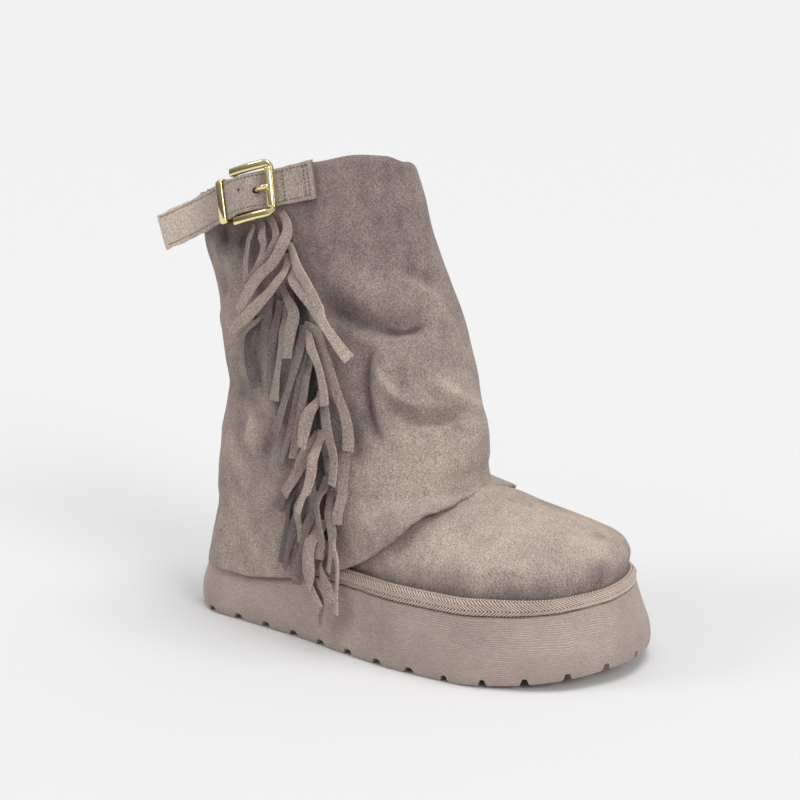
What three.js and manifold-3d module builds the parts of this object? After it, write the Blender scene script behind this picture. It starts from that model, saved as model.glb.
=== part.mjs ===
// A fold-over platform boot for the right foot, standing on the floor z = 0, in millimetres.
// +X points to the toe, +Y to the inner side of the foot and +Z up. The buckled side is -Y.
// The pieces are drawn with the heel's rearmost point at x = 0 and then moved together, so that the
// origin is on the floor under the middle of the heel. A "level" is 0 at the top of the sole, 1 at
// the throat of the vamp and 2 at the front of the collar.
import * as THREE from 'three';
import Module from 'manifold-3d';
import { mergeVertices } from 'three/addons/utils/BufferGeometryUtils.js';

const wasm = await Module();
wasm.setup();

// Driving dimensions of the foot and the shaft
const SOLE_LENGTH = 275;
const BALL_WIDTH = 120;
const SOLE_HEIGHT = 35;
const HEEL_RAISE = 3;
const HEEL_MIDDLE = 40;
const TOE_SPRING = 7.9;
const INSTEP_RISE = 48;
const SHAFT_RISE = 172;
const FIT_GAP = 0.3;

// Platform sole: how far its top lies inside its widest outline, and its tread
const SIDE_FLARE = 3.6;
const TOE_FLARE = 5.5;
const HEEL_FLARE = 6.5;
const SPRING_START = 0.7;
const HEEL_WEDGE_END = 0.6;
const TREAD_PITCH = 21.3;
const TREAD_PHASE = 0.6;
const TREAD_DEPTH = 3.2;
const TREAD_GAP = 5.8;
const TREAD_RUN = 22;
const MIDDLE_LUGS = 7;
const MIDDLE_LUG_RUN = 30;
const MIDDLE_LUG_DEPTH = 2.2;

// Walls and layers
const UPPER_WALL = 2.8;
const COVER_WALL = 1.8;
const INSOLE_THICKNESS = 5;
const TAPE_THICKNESS = 4.8;
const TAPE_HEIGHT = 9.6;
const FOLD_DEPTH = 14;
const RIM_DEPTH = 6;

// Strap, buckle and keeper
const STRAP_WIDTH = 20;
const STRAP_THICKNESS = 2.2;
const TAIL_LENGTH = 43;
const TAIL_HEADING = 9;
const TAIL_FALL = 20;
const CHAPE_WIDTH = 18;
const CHAPE_THICKNESS = 1.5;
const BAR_WIDTH = 4.4;
const BAR_THICKNESS = 3.4;
const FRAME_LENGTH = 31;
const ROLLER_RADIUS = 2.3;
const HINGE_RADIUS = 1.1;
const EYE_TUBE = 0.6;
const PRONG_RADIUS = 1.1;
const HOLE_CLEARANCE = 0.45;
const KEEPER_WIDTH = 4.6;
const KEEPER_THICKNESS = 1.3;
const FRAME_BEND_RADIUS = 70;

// Fringe
const STRIP_WIDTH = 4.6;
const STRIP_THICKNESS = 1.2;
const STRIP_STEPS = 3;
const BAND_WIDTH = 6;
const BAND_STEPS = 12;
const BAND_STAND = 1.2;
const ROOT_LIFT = 0.3;
const LAYER_STAND = 1.3;

// Fineness of the curved solids
const COLUMNS = 44;
const SOLE_COLUMNS = 60;
const FULL_TURN = 2 * Math.PI;

const lerp = THREE.MathUtils.lerp;
const clamp = THREE.MathUtils.clamp;
const radians = THREE.MathUtils.degToRad;

// Turns rows of numbers into records whose fields have the columns' names.
function table(columns, rows) {
  return rows.map((row) => Object.fromEntries(columns.map((name, i) => [name, row[i]])));
}

// The plan of the platform at its widest, heel to toe, as shares of the length and the ball width.
const OUTLINE = table(['along', 'lateral', 'medial'], [
  [0.000, 0.000, 0.000],
  [0.012, 0.131, 0.131],
  [0.050, 0.270, 0.272],
  [0.120, 0.368, 0.365],
  [0.220, 0.388, 0.402],
  [0.360, 0.422, 0.393],
  [0.500, 0.475, 0.412],
  [0.630, 0.507, 0.468],
  [0.750, 0.503, 0.496],
  [0.860, 0.429, 0.458],
  [0.940, 0.308, 0.347],
  [0.985, 0.137, 0.188],
  [1.000, 0.000, 0.000],
]);

// The platform's wall from floor to top: share of the height, share of the flare, corner rounding in mm.
const SOLE_WALL = table(['up', 'flare', 'corner'], [
  [0.00, 0.00, 2.6],
  [0.04, 0.00, 0.9],
  [0.13, 0.00, 0.1],
  [0.30, 0.02, 0.0],
  [0.65, 0.50, 0.0],
  [0.96, 0.96, 0.0],
  [1.00, 1.00, 1.0],
]);

// The tape's round section: share of its thickness outwards, share of its height.
const TAPE_SECTION = table(['out', 'up'], [
  [0.00, 0.00],
  [0.78, 0.00],
  [0.97, 0.22],
  [1.00, 0.50],
  [0.86, 0.78],
  [0.50, 0.98],
  [0.00, 1.00],
]);

// The upper's outer face from the feather line to the instep. Levels are shares of the instep rise,
// shifts are shares of the sole's length, widths scale the feather outline, and round mixes in an oval
// whose half widths are shares of the ball width.
const FOOT_ROWS = table(
  ['back', 'front', 'backShift', 'frontShift', 'heelWide', 'toeWide', 'round', 'lateral', 'medial'], [
  [0.00, 0.00, 0.0000, 0.0000, 1.000, 1.000, 0.00, 0.380, 0.370],
  [0.21, 0.21, 0.0000, 0.0000, 1.000, 1.000, 0.00, 0.380, 0.370],
  [0.25, 0.33, 0.0000, 0.0090, 1.010, 1.030, 0.00, 0.380, 0.370],
  [0.28, 0.47, 0.0000, 0.0010, 1.015, 1.015, 0.00, 0.380, 0.370],
  [0.31, 0.58, 0.0005, -0.0340, 1.015, 0.965, 0.03, 0.380, 0.370],
  [0.34, 0.68, 0.0010, -0.0790, 1.010, 0.895, 0.08, 0.376, 0.366],
  [0.37, 0.79, 0.0015, -0.1420, 1.000, 0.820, 0.20, 0.366, 0.356],
  [0.40, 0.90, 0.0020, -0.2020, 0.990, 0.750, 0.38, 0.358, 0.348],
  [0.43, 0.97, 0.0030, -0.2620, 0.980, 0.690, 0.62, 0.352, 0.342],
  [0.46, 1.18, 0.0045, -0.2870, 0.970, 0.670, 0.80, 0.352, 0.342],
]);
const FEATHER_INSET = TAPE_THICKNESS + 2 * FIT_GAP;

// Level sections of the shaft cover's outer face. Places are shares of the sole's length, half widths
// are shares of the ball width, and the foot's own outline gives way to an oval as round goes to 1.
const COVER_ROWS = table(
  ['level', 'back', 'front', 'heelWide', 'toeWide', 'round', 'lateral', 'medial'], [
  [-0.310, 0.0040, 0.9850, 1.098, 1.060, 0.00, 0.400, 0.390],
  [-0.104, 0.0175, 0.9840, 1.077, 1.055, 0.00, 0.400, 0.390],
  [0.104, 0.0270, 0.9820, 1.055, 1.048, 0.00, 0.400, 0.390],
  [0.310, 0.0330, 0.9750, 1.040, 1.030, 0.02, 0.400, 0.390],
  [0.460, 0.0370, 0.9550, 1.025, 1.005, 0.06, 0.400, 0.390],
  [0.600, 0.0410, 0.9150, 1.015, 0.975, 0.10, 0.400, 0.390],
  [0.730, 0.0430, 0.8550, 1.005, 0.930, 0.18, 0.400, 0.390],
  [0.830, 0.0440, 0.7950, 1.000, 0.880, 0.28, 0.398, 0.388],
  [0.920, 0.0445, 0.7400, 0.990, 0.840, 0.42, 0.396, 0.386],
  [1.006, 0.0450, 0.6900, 0.980, 0.800, 0.56, 0.394, 0.384],
  [1.047, 0.0480, 0.6730, 0.970, 0.770, 0.70, 0.392, 0.382],
  [1.087, 0.0540, 0.6720, 0.960, 0.740, 0.82, 0.390, 0.380],
  [1.134, 0.0640, 0.6690, 0.950, 0.720, 0.92, 0.388, 0.378],
  [1.174, 0.0720, 0.6660, 0.950, 0.700, 0.98, 0.386, 0.377],
  [1.244, 0.0800, 0.6530, 0.950, 0.700, 1.00, 0.383, 0.375],
  [1.331, 0.0720, 0.6450, 0.950, 0.700, 1.00, 0.376, 0.369],
  [1.419, 0.0630, 0.6300, 0.950, 0.700, 1.00, 0.366, 0.359],
  [1.506, 0.0600, 0.6150, 0.950, 0.700, 1.00, 0.350, 0.344],
  [1.593, 0.0450, 0.5960, 0.950, 0.700, 1.00, 0.328, 0.322],
  [1.680, 0.0200, 0.5760, 0.950, 0.700, 1.00, 0.300, 0.295],
  [1.767, 0.0080, 0.5560, 0.950, 0.700, 1.00, 0.270, 0.265],
  [1.855, -0.0040, 0.5440, 0.950, 0.700, 1.00, 0.240, 0.235],
  [1.942, -0.0070, 0.5290, 0.950, 0.700, 1.00, 0.213, 0.208],
  [2.017, -0.0060, 0.5160, 0.950, 0.700, 1.00, 0.195, 0.190],
]);

// The cover's cut hem and folded collar: height level against the share of the way from back to front.
const HEM = table(['share', 'level'], [
  [0.000, -0.290],
  [0.140, -0.240],
  [0.230, -0.130],
  [0.300, -0.060],
  [0.365, 0.010],
  [0.425, 0.100],
  [0.488, 0.240],
  [0.555, 0.430],
  [0.605, 0.560],
  [0.670, 0.680],
  [0.757, 0.800],
  [0.846, 0.890],
  [0.950, 0.975],
  [1.000, 1.000],
]);
const COLLAR = table(['share', 'lateral', 'medial'], [
  [0.00, 1.838, 1.838],
  [0.18, 1.862, 1.848],
  [0.30, 1.898, 1.864],
  [0.55, 1.954, 1.908],
  [0.70, 1.974, 1.936],
  [0.90, 1.994, 1.980],
  [1.00, 2.000, 2.000],
]);

// The fold over the collar, across both walls: share of the fold's width inwards, share of its drop.
const FOLD_SECTION = table(['inwards', 'drop'], [
  [0.00, 1.00],
  [0.14, 0.30],
  [0.50, 0.00],
  [0.86, 0.30],
  [1.00, 1.00],
]);
const FOLD_DROP = 3.6;

// The strap's centre line on the buckled side: share of the length, level, and how far it is lifted
// from its seat on the cover (0) towards its crest over the hinge bar (1).
const STRAP_ROWS = table(['along', 'level', 'lift'], [
  [0.3650, 1.924, 0.00],
  [0.3350, 1.912, 0.00],
  [0.3080, 1.902, 0.00],
  [0.2860, 1.893, 0.02],
  [0.2680, 1.886, 0.14],
  [0.2480, 1.878, 0.70],
  [0.2200, 1.866, 1.00],
  [0.1920, 1.852, 1.00],
  [0.1640, 1.836, 0.66],
  [0.1350, 1.820, 0.50],
  [0.1000, 1.797, 0.42],
]);
const BUCKLE_PLACE = { along: 0.2345, level: 1.8725 };
const KEEPER_PLACE = { along: 0.1635, level: 1.8355 };
const CHAPE_ENDS = { front: 0.172, back: 0.105 };

// The line that the fringe is sewn along, from under the strap to near the hem.
const SEAM = table(['level', 'along'], [
  [0.200, 0.440],
  [0.600, 0.430],
  [1.000, 0.420],
  [1.160, 0.409],
  [1.330, 0.401],
  [1.490, 0.380],
  [1.660, 0.341],
  [1.780, 0.300],
]);

// The strips: level of the root on that line, place and level of the free end, sideways bow as a
// share of the sole's length, and the layer that they lie in.
const STRIPS = table(['root', 'along', 'level', 'bow', 'layer'], [
  [1.779, 0.207, 1.453, 0.025, 4],
  [1.698, 0.185, 1.384, 0.018, 3],
  [1.762, 0.480, 1.413, -0.007, 3],
  [1.727, 0.360, 1.401, 0.011, 1],
  [1.634, 0.265, 1.285, 0.015, 2],
  [1.605, 0.327, 1.273, 0.007, 4],
  [1.552, 0.320, 1.203, 0.007, 3],
  [1.506, 0.327, 1.163, 0.004, 1],
  [1.483, 0.400, 1.140, 0.007, 4],
  [1.506, 0.484, 1.140, 0.011, 2],
  [1.407, 0.342, 1.076, 0.004, 2],
  [1.390, 0.480, 1.052, 0.011, 3],
  [1.343, 0.364, 0.979, 0.004, 4],
  [1.297, 0.396, 0.812, 0.004, 3],
  [1.285, 0.491, 0.771, 0.015, 1],
  [1.279, 0.324, 0.750, -0.004, 2],
  [1.203, 0.371, 0.521, 0.004, 4],
  [1.192, 0.451, 0.479, 0.011, 3],
  [1.157, 0.338, 0.292, -0.004, 1],
  [1.122, 0.415, 0.229, 0.004, 2],
  [1.087, 0.349, 0.104, -0.004, 3],
  [1.076, 0.473, 0.188, 0.011, 1],
  [1.041, 0.385, -0.042, 0.000, 2],
  [0.979, 0.415, -0.104, 0.004, 4],
  [0.854, 0.444, -0.250, 0.004, 3],
  [0.729, 0.469, -0.146, 0.004, 2],
  [0.646, 0.484, -0.292, 0.004, 1],
  [0.604, 0.429, -0.438, 0.000, 1],
]);

// A curve through points that doesn't overshoot them, by Fritsch and Carlson's slopes.
function smoothCurve(xs, ys) {
  const last = xs.length - 1;
  const steps = [];
  const slopes = [];
  for (let i = 0; i < last; i++) {
    steps.push(xs[i + 1] - xs[i]);
    slopes.push((ys[i + 1] - ys[i]) / steps[i]);
  }
  const tangents = [slopes[0]];
  for (let i = 1; i < last; i++) {
    const a = 2 * steps[i] + steps[i - 1];
    const b = steps[i] + 2 * steps[i - 1];
    const turns = slopes[i - 1] * slopes[i] <= 0;
    tangents.push(turns ? 0 : (a + b) / (a / slopes[i - 1] + b / slopes[i]));
  }
  tangents.push(slopes[last - 1]);
  return (value) => {
    const x = clamp(value, xs[0], xs[last]);
    let i = 0;
    while (i < last - 1 && x > xs[i + 1]) i++;
    const s = (x - xs[i]) / steps[i];
    const rise = ys[i + 1] - ys[i];
    const c = tangents[i] * steps[i];
    const d = tangents[i + 1] * steps[i];
    return ys[i] + s * (c + s * (3 * rise - 2 * c - d + s * (c + d - 2 * rise)));
  };
}

function column(rows, key, name) {
  return smoothCurve(rows.map((row) => row[key]), rows.map((row) => row[name]));
}

// Places on the outline run by an angle: 0 at the heel, a quarter turn on the lateral side.
function shareOf(angle) {
  return (1 - Math.cos(angle)) / 2;
}

const outlineAngles = OUTLINE.map((row) => Math.acos(1 - 2 * row.along));
const lateralHalf = smoothCurve(outlineAngles, OUTLINE.map((row) => row.lateral));
const medialHalf = smoothCurve(outlineAngles, OUTLINE.map((row) => row.medial));

function widest(angle) {
  const turned = (angle % FULL_TURN + FULL_TURN) % FULL_TURN;
  const lateral = turned <= Math.PI;
  const half = lateral ? -lateralHalf(turned) : medialHalf(FULL_TURN - turned);
  return new THREE.Vector2(SOLE_LENGTH * shareOf(turned), half * BALL_WIDTH);
}

// The outline's place and its outward direction at an angle.
function outlineFrame(angle) {
  const step = 0.01;
  const along = widest(angle + step).sub(widest(angle - step)).normalize();
  return { place: widest(angle), out: new THREE.Vector2(along.y, -along.x), along };
}

// A point of the outline drawn in by a share of the flare and by a distance all round.
function insetPoint(angle, flare, inset) {
  const { place, out } = outlineFrame(angle);
  const toe = TOE_FLARE * Math.max(out.x, 0) ** 2;
  const heel = HEEL_FLARE * Math.max(-out.x, 0) ** 2;
  const depth = flare * (SIDE_FLARE + toe + heel) + inset;
  return place.addScaledVector(out, -depth);
}

function floorRise(x) {
  const share = (x / SOLE_LENGTH - SPRING_START) / (1 - SPRING_START);
  return TOE_SPRING * clamp(share, 0, 1) ** 2;
}

function soleTop(x) {
  const wedge = clamp(1 - x / (HEEL_WEDGE_END * SOLE_LENGTH), 0, 1);
  const followedSpring = 0.6;
  return SOLE_HEIGHT + HEEL_RAISE * wedge + followedSpring * floorRise(x);
}

// Height of a level above the floor.
function heightOf(level) {
  const low = Math.min(level, 1) * INSTEP_RISE;
  const high = Math.max(level - 1, 0) * SHAFT_RISE;
  return SOLE_HEIGHT + low + high;
}

function levelOf(height) {
  const rise = height - SOLE_HEIGHT;
  return rise < INSTEP_RISE ? rise / INSTEP_RISE : 1 + (rise - INSTEP_RISE) / SHAFT_RISE;
}

function angles(count) {
  return Array.from({ length: count }, (_, i) => FULL_TURN * i / count);
}

// Geometry from corners and triangles, with its faces turned outwards.
function closedGeometry(points, triangles) {
  let volume = 0;
  const cross = new THREE.Vector3();
  for (const [a, b, c] of triangles) {
    volume += points[a].dot(cross.crossVectors(points[b], points[c]));
  }
  const turned = volume < 0 ? triangles.map(([a, b, c]) => [a, c, b]) : triangles;
  const geometry = new THREE.BufferGeometry().setFromPoints(points);
  geometry.setIndex(turned.flat());
  return geometry;
}

// A band of faces between two rings of a grid, each square split along its shorter diagonal.
function ringBand(points, triangles, first, second, count) {
  for (let i = 0; i < count; i++) {
    const j = (i + 1) % count;
    const [a, b, c, d] = [first + i, first + j, second + j, second + i];
    const shorter = points[a].distanceTo(points[c]) < points[b].distanceTo(points[d]);
    if (shorter) triangles.push([a, b, c], [a, c, d]);
    else triangles.push([a, b, d], [b, c, d]);
  }
}

// A hollow solid from rings that follow each other round its wall and close on the first.
function loopSolid(rings) {
  const count = rings[0].length;
  const points = rings.flat();
  const triangles = [];
  rings.forEach((_, r) => {
    ringBand(points, triangles, r * count, (r + 1) % rings.length * count, count);
  });
  return closedGeometry(points, triangles);
}

// Rungs across a ring, from its heel to its toe, so that its cap follows the sole's curve.
function ladderCap(triangles, first, count, up) {
  for (let i = 0; i < count / 2; i++) {
    const right = first + i;
    const left = first + (count - i) % count;
    const nextRight = first + i + 1;
    const nextLeft = first + count - i - 1;
    const faces = [[right, nextRight, nextLeft], [right, nextLeft, left]];
    for (const face of faces) {
      if (new Set(face).size === 3) triangles.push(up ? face : [face[0], face[2], face[1]]);
    }
  }
}

// A full solid from rings stacked upwards.
function stackSolid(rings) {
  const count = rings[0].length;
  const points = rings.flat();
  const triangles = [];
  for (let r = 0; r + 1 < rings.length; r++) {
    ringBand(points, triangles, r * count, (r + 1) * count, count);
  }
  ladderCap(triangles, 0, count, false);
  ladderCap(triangles, (rings.length - 1) * count, count, true);
  return closedGeometry(points, triangles);
}

// A bar of rectangular section through stations, each with a centre, a width and a thickness direction.
function bandSolid(stations, width, thickness) {
  const rings = stations.map(({ centre, across, normal }) => [[-1, -1], [1, -1], [1, 1], [-1, 1]].map(
    ([a, n]) => centre.clone()
      .addScaledVector(across, a * width / 2)
      .addScaledVector(normal, n * thickness / 2),
  ));
  const points = rings.flat();
  const triangles = [];
  for (let r = 0; r + 1 < rings.length; r++) {
    ringBand(points, triangles, r * 4, (r + 1) * 4, 4);
  }
  const end = (rings.length - 1) * 4;
  triangles.push([0, 2, 1], [0, 3, 2], [end, end + 1, end + 2], [end, end + 2, end + 3]);
  return closedGeometry(points, triangles);
}

function toSolid(geometry) {
  const bare = geometry.clone();
  bare.deleteAttribute('normal');
  bare.deleteAttribute('uv');
  const merged = mergeVertices(bare, 1e-4);
  const mesh = new wasm.Mesh({
    numProp: 3,
    vertProperties: new Float32Array(merged.attributes.position.array),
    triVerts: new Uint32Array(merged.index.array),
  });
  return new wasm.Manifold(mesh);
}

function fromSolid(solid) {
  const mesh = solid.getMesh();
  const geometry = new THREE.BufferGeometry();
  geometry.setAttribute('position', new THREE.BufferAttribute(mesh.vertProperties, 3));
  geometry.setIndex(new THREE.BufferAttribute(mesh.triVerts, 1));
  return geometry;
}

// Platform sole

// Angles of the tread's edge notches, a pitch apart along the outline.
function treadAngles() {
  const samples = angles(720);
  const lengths = [0];
  samples.forEach((angle, i) => {
    const next = samples[i + 1] ?? FULL_TURN;
    lengths.push(lengths[i] + widest(angle).distanceTo(widest(next)));
  });
  const perimeter = lengths.at(-1);
  const count = Math.round(perimeter / TREAD_PITCH);
  const angleAt = smoothCurve(lengths, [...samples, FULL_TURN]);
  return Array.from({ length: count }, (_, i) => angleAt(perimeter * (i + TREAD_PHASE) / count));
}

// A groove's cutter: a bar with sloped flanks, laid from inside the sole out past its edge.
function grooveCutter(centre, across, run, depth) {
  const mouth = TREAD_GAP / 2;
  const roof = mouth * 0.62;
  const below = 2;
  const shape = new THREE.Shape();
  shape.moveTo(-mouth - below * 0.3, -below);
  shape.lineTo(mouth + below * 0.3, -below);
  shape.lineTo(roof, depth);
  shape.lineTo(-roof, depth);
  shape.closePath();
  const bar = new THREE.ExtrudeGeometry(shape, { depth: run, bevelEnabled: false });
  const along = new THREE.Vector3(-across.y, across.x, 0);
  const up = new THREE.Vector3(0, 0, 1);
  const basis = new THREE.Matrix4().makeBasis(along, up, across);
  basis.setPosition(centre);
  return bar.applyMatrix4(basis);
}

function edgeCutter(angle) {
  const { place, out } = outlineFrame(angle);
  const overhang = 5;
  const across = new THREE.Vector3(out.x, out.y, 0);
  const start = place.addScaledVector(out, -TREAD_RUN);
  const centre = new THREE.Vector3(start.x, start.y, floorRise(start.x));
  return grooveCutter(centre, across, TREAD_RUN + overhang, TREAD_DEPTH);
}

function middleCutters() {
  const first = 0.22 * SOLE_LENGTH;
  const last = 0.86 * SOLE_LENGTH;
  return Array.from({ length: MIDDLE_LUGS + 1 }, (_, i) => {
    const x = lerp(first, last, i / MIDDLE_LUGS);
    const centre = new THREE.Vector3(x, -MIDDLE_LUG_RUN / 2, floorRise(x));
    return grooveCutter(centre, new THREE.Vector3(0, 1, 0), MIDDLE_LUG_RUN, MIDDLE_LUG_DEPTH);
  });
}

function buildOutsole() {
  const rings = SOLE_WALL.map(({ up, flare, corner }) => angles(SOLE_COLUMNS).map((angle) => {
    const plan = insetPoint(angle, flare, corner);
    return new THREE.Vector3(plan.x, plan.y, lerp(floorRise(plan.x), soleTop(plan.x), up));
  }));
  let solid = toSolid(stackSolid(rings));
  for (const cutter of [...treadAngles().map(edgeCutter), ...middleCutters()]) {
    solid = solid.subtract(toSolid(cutter));
  }
  return fromSolid(solid);
}

// Herringbone tape round the joint of sole and upper
function buildTape() {
  const rings = TAPE_SECTION.map(({ out, up }) => angles(SOLE_COLUMNS).map((angle) => {
    const plan = insetPoint(angle, 1, TAPE_THICKNESS * (1 - out));
    return new THREE.Vector3(plan.x, plan.y, soleTop(plan.x) + FIT_GAP + TAPE_HEIGHT * up);
  }));
  return loopSolid(rings);
}

function buildInsole() {
  const inset = FEATHER_INSET + UPPER_WALL + 2 * FIT_GAP;
  const edge = 0.8;
  const rings = [[0, 0], [1 - edge / INSOLE_THICKNESS, 0], [1, edge]].map(([up, corner]) => (
    angles(COLUMNS).map((angle) => {
      const plan = insetPoint(angle, 1, inset + corner);
      return new THREE.Vector3(plan.x, plan.y, soleTop(plan.x) + FIT_GAP + INSOLE_THICKNESS * up);
    })
  ));
  return stackSolid(rings);
}

// Shaft cover's outer face

const coverColumn = {};
for (const name of ['back', 'front', 'heelWide', 'toeWide', 'round', 'lateral', 'medial']) {
  coverColumn[name] = column(COVER_ROWS, 'level', name);
}
const hemLevel = column(HEM, 'share', 'level');
const collarLateral = column(COLLAR, 'share', 'lateral');
const collarMedial = column(COLLAR, 'share', 'medial');

// A section mixed from the foot's outline and an oval, between a back and a front.
function mixedSection(angle, back, front, section, inset) {
  const plan = insetPoint(angle, 1, inset);
  const heel = insetPoint(0, 1, inset).x;
  const toe = insetPoint(Math.PI, 1, inset).x;
  const share = (plan.x - heel) / (toe - heel);
  const footX = lerp(back, front, share);
  const footY = plan.y * lerp(section.heelWide, section.toeWide, share);
  const half = BALL_WIDTH * (Math.sin(angle) >= 0 ? section.lateral : section.medial);
  const ovalX = lerp(back, front, shareOf(angle));
  const ovalY = -Math.sin(angle) * half;
  return new THREE.Vector2(lerp(footX, ovalX, section.round), lerp(footY, ovalY, section.round));
}

function coverPoint(angle, height) {
  const level = levelOf(height);
  const section = {};
  for (const [name, curve] of Object.entries(coverColumn)) {
    section[name] = curve(level);
  }
  const back = section.back * SOLE_LENGTH;
  const front = section.front * SOLE_LENGTH;
  const plan = mixedSection(angle, back, front, section, 0);
  return new THREE.Vector3(plan.x, plan.y, height);
}

function coverNormal(angle, height) {
  const turn = 0.02;
  const rise = 1.5;
  const round = coverPoint(angle + turn, height).sub(coverPoint(angle - turn, height));
  const upwards = coverPoint(angle, height + rise).sub(coverPoint(angle, height - rise));
  return round.cross(upwards).normalize();
}

function hemHeight(angle) {
  return heightOf(hemLevel(shareOf(angle)));
}

function collarHeight(angle) {
  const level = Math.sin(angle) >= 0 ? collarLateral : collarMedial;
  return heightOf(level(shareOf(angle)));
}

// A point at a depth behind the cover's outer face, moved level so that rims stay where they are.
function behindCover(angle, height, depth) {
  const inwards = coverNormal(angle, height);
  inwards.z = 0;
  return coverPoint(angle, height).addScaledVector(inwards.normalize(), -depth);
}

// A point of the cover's inner face, its depth taken along the face's own normal.
function insideCover(angle, height, depth) {
  const point = coverPoint(angle, height);
  return point.addScaledVector(coverNormal(angle, height), -depth);
}

// Rows of the cover's faces, as shares of the way from the hem up to the fold.
const COVER_STEPS = [0, 0.035, 0.08, 0.14, 0.21, 0.29, 0.38, 0.48, 0.58, 0.68, 0.78, 0.88];
const FIRST_SHAFT_STEP = 4;

function stepHeight(angle, share) {
  return lerp(hemHeight(angle), collarHeight(angle) - FOLD_DROP - 2, share);
}

function buildCover() {
  const foldWidth = 2 * COVER_WALL + UPPER_WALL + 2 * FIT_GAP;
  const row = (place) => angles(COLUMNS).map(place);
  const outer = COVER_STEPS.map((share) => row((a) => coverPoint(a, stepHeight(a, share))));
  const fold = FOLD_SECTION.map(({ inwards, drop }) => row((a) => (
    behindCover(a, collarHeight(a) - drop * FOLD_DROP, inwards * foldWidth)
  )));
  const turnIn = (inwards, drop) => row((a) => (
    behindCover(a, collarHeight(a) - drop, inwards)
  ));
  const hook = [
    turnIn(foldWidth, FOLD_DEPTH),
    turnIn(foldWidth - COVER_WALL, FOLD_DEPTH),
    turnIn(foldWidth - COVER_WALL, COVER_WALL + 1),
    turnIn(COVER_WALL, COVER_WALL + 1),
  ];
  const inner = COVER_STEPS.toReversed().map((share) => row((a) => {
    const height = stepHeight(a, share);
    const point = insideCover(a, height, COVER_WALL);
    const level = behindCover(a, height, COVER_WALL);
    const nearRim = share === 0 || share > 0.85;
    return nearRim ? level : point;
  }));
  return loopSolid([...outer, ...fold, ...hook, ...inner]);
}

// Upper

function footPoint(angle, row) {
  const inset = FEATHER_INSET;
  const back = insetPoint(0, 1, inset).x + row.backShift * SOLE_LENGTH;
  const front = insetPoint(Math.PI, 1, inset).x + row.frontShift * SOLE_LENGTH;
  const plan = mixedSection(angle, back, front, row, inset);
  const rise = INSTEP_RISE * lerp(row.back, row.front, shareOf(angle));
  return new THREE.Vector3(plan.x, plan.y, soleTop(plan.x) + FIT_GAP + rise);
}

// Outward directions over a grid of rings, from its neighbours along and across.
function gridNormals(rings) {
  const count = rings[0].length;
  return rings.map((ring, r) => ring.map((_, i) => {
    const above = rings[Math.min(r + 1, rings.length - 1)][i];
    const below = rings[Math.max(r - 1, 0)][i];
    const round = ring[(i + 1) % count].clone().sub(ring[(i + count - 1) % count]);
    const normal = round.cross(above.clone().sub(below));
    if (r === 0 || r === rings.length - 1) normal.z = 0;
    return normal.normalize();
  }));
}

function buildUpper() {
  const foot = FOOT_ROWS.map((row) => angles(COLUMNS).map((angle) => footPoint(angle, row)));
  const shaft = COVER_STEPS.slice(FIRST_SHAFT_STEP).map((share) => angles(COLUMNS).map((angle) => (
    insideCover(angle, stepHeight(angle, share), COVER_WALL + FIT_GAP)
  )));
  const underFold = COVER_WALL + 1 + FIT_GAP;
  const rims = [RIM_DEPTH, 0].map((drop) => angles(COLUMNS).map((angle) => (
    behindCover(angle, collarHeight(angle) - underFold - drop, COVER_WALL + FIT_GAP)
  )));
  const outer = [...foot, ...shaft, ...rims];
  const normals = gridNormals(outer);
  const inner = outer.map((ring, r) => ring.map((point, i) => (
    point.clone().addScaledVector(normals[r][i], -UPPER_WALL)
  )));
  return loopSolid([...outer, ...inner.toReversed()]);
}

// Places on the buckled side, found by distance along the foot and height

function sideAngle(x, height) {
  let low = 0.05;
  let high = Math.PI - 0.05;
  for (let i = 0; i < 40; i++) {
    const middle = (low + high) / 2;
    if (coverPoint(middle, height).x < x) low = middle;
    else high = middle;
  }
  return (low + high) / 2;
}

function sidePoint(x, height, stand) {
  const angle = sideAngle(x, height);
  const normal = coverNormal(angle, height);
  return { point: coverPoint(angle, height).addScaledVector(normal, stand), normal };
}

// Strap, chape, keeper and buckle

const strapSeat = FIT_GAP + STRAP_THICKNESS / 2;
const hingeHeight = FIT_GAP + HINGE_RADIUS + FIT_GAP + 2 * EYE_TUBE;
const strapCrest = hingeHeight + HINGE_RADIUS + 2 * EYE_TUBE + 4 * FIT_GAP + STRAP_THICKNESS / 2;
const rollerHeight = strapSeat + STRAP_THICKNESS / 2 + FIT_GAP + ROLLER_RADIUS;

function strapStand(lift) {
  return lerp(strapSeat, strapCrest, lift);
}

// Stations along a path of side points, with directions across and out.
function stationsAlong(points) {
  return points.map(({ point, normal }, i) => {
    const ahead = points[Math.min(i + 1, points.length - 1)].point;
    const behind = points[Math.max(i - 1, 0)].point;
    const along = ahead.clone().sub(behind).normalize();
    const across = along.clone().cross(normal).normalize();
    return { centre: point, across, normal: across.clone().cross(along) };
  });
}

function tailPoints(last) {
  const heading = radians(TAIL_HEADING);
  const fall = radians(TAIL_FALL);
  const level = Math.cos(fall);
  const way = new THREE.Vector3(-Math.cos(heading) * level, Math.sin(heading) * level, -Math.sin(fall));
  const side = new THREE.Vector3(-Math.sin(heading), -Math.cos(heading), 0);
  return [0.34, 0.67, 1].map((share) => ({
    point: last.point.clone().addScaledVector(way, TAIL_LENGTH * share),
    normal: last.normal.clone().lerp(side, Math.min(1, 2 * share)).normalize(),
  }));
}

function strapPath() {
  const points = STRAP_ROWS.map(({ along, level, lift }) => (
    sidePoint(along * SOLE_LENGTH, heightOf(level), strapStand(lift))
  ));
  return [...points, ...tailPoints(points.at(-1))];
}

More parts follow.
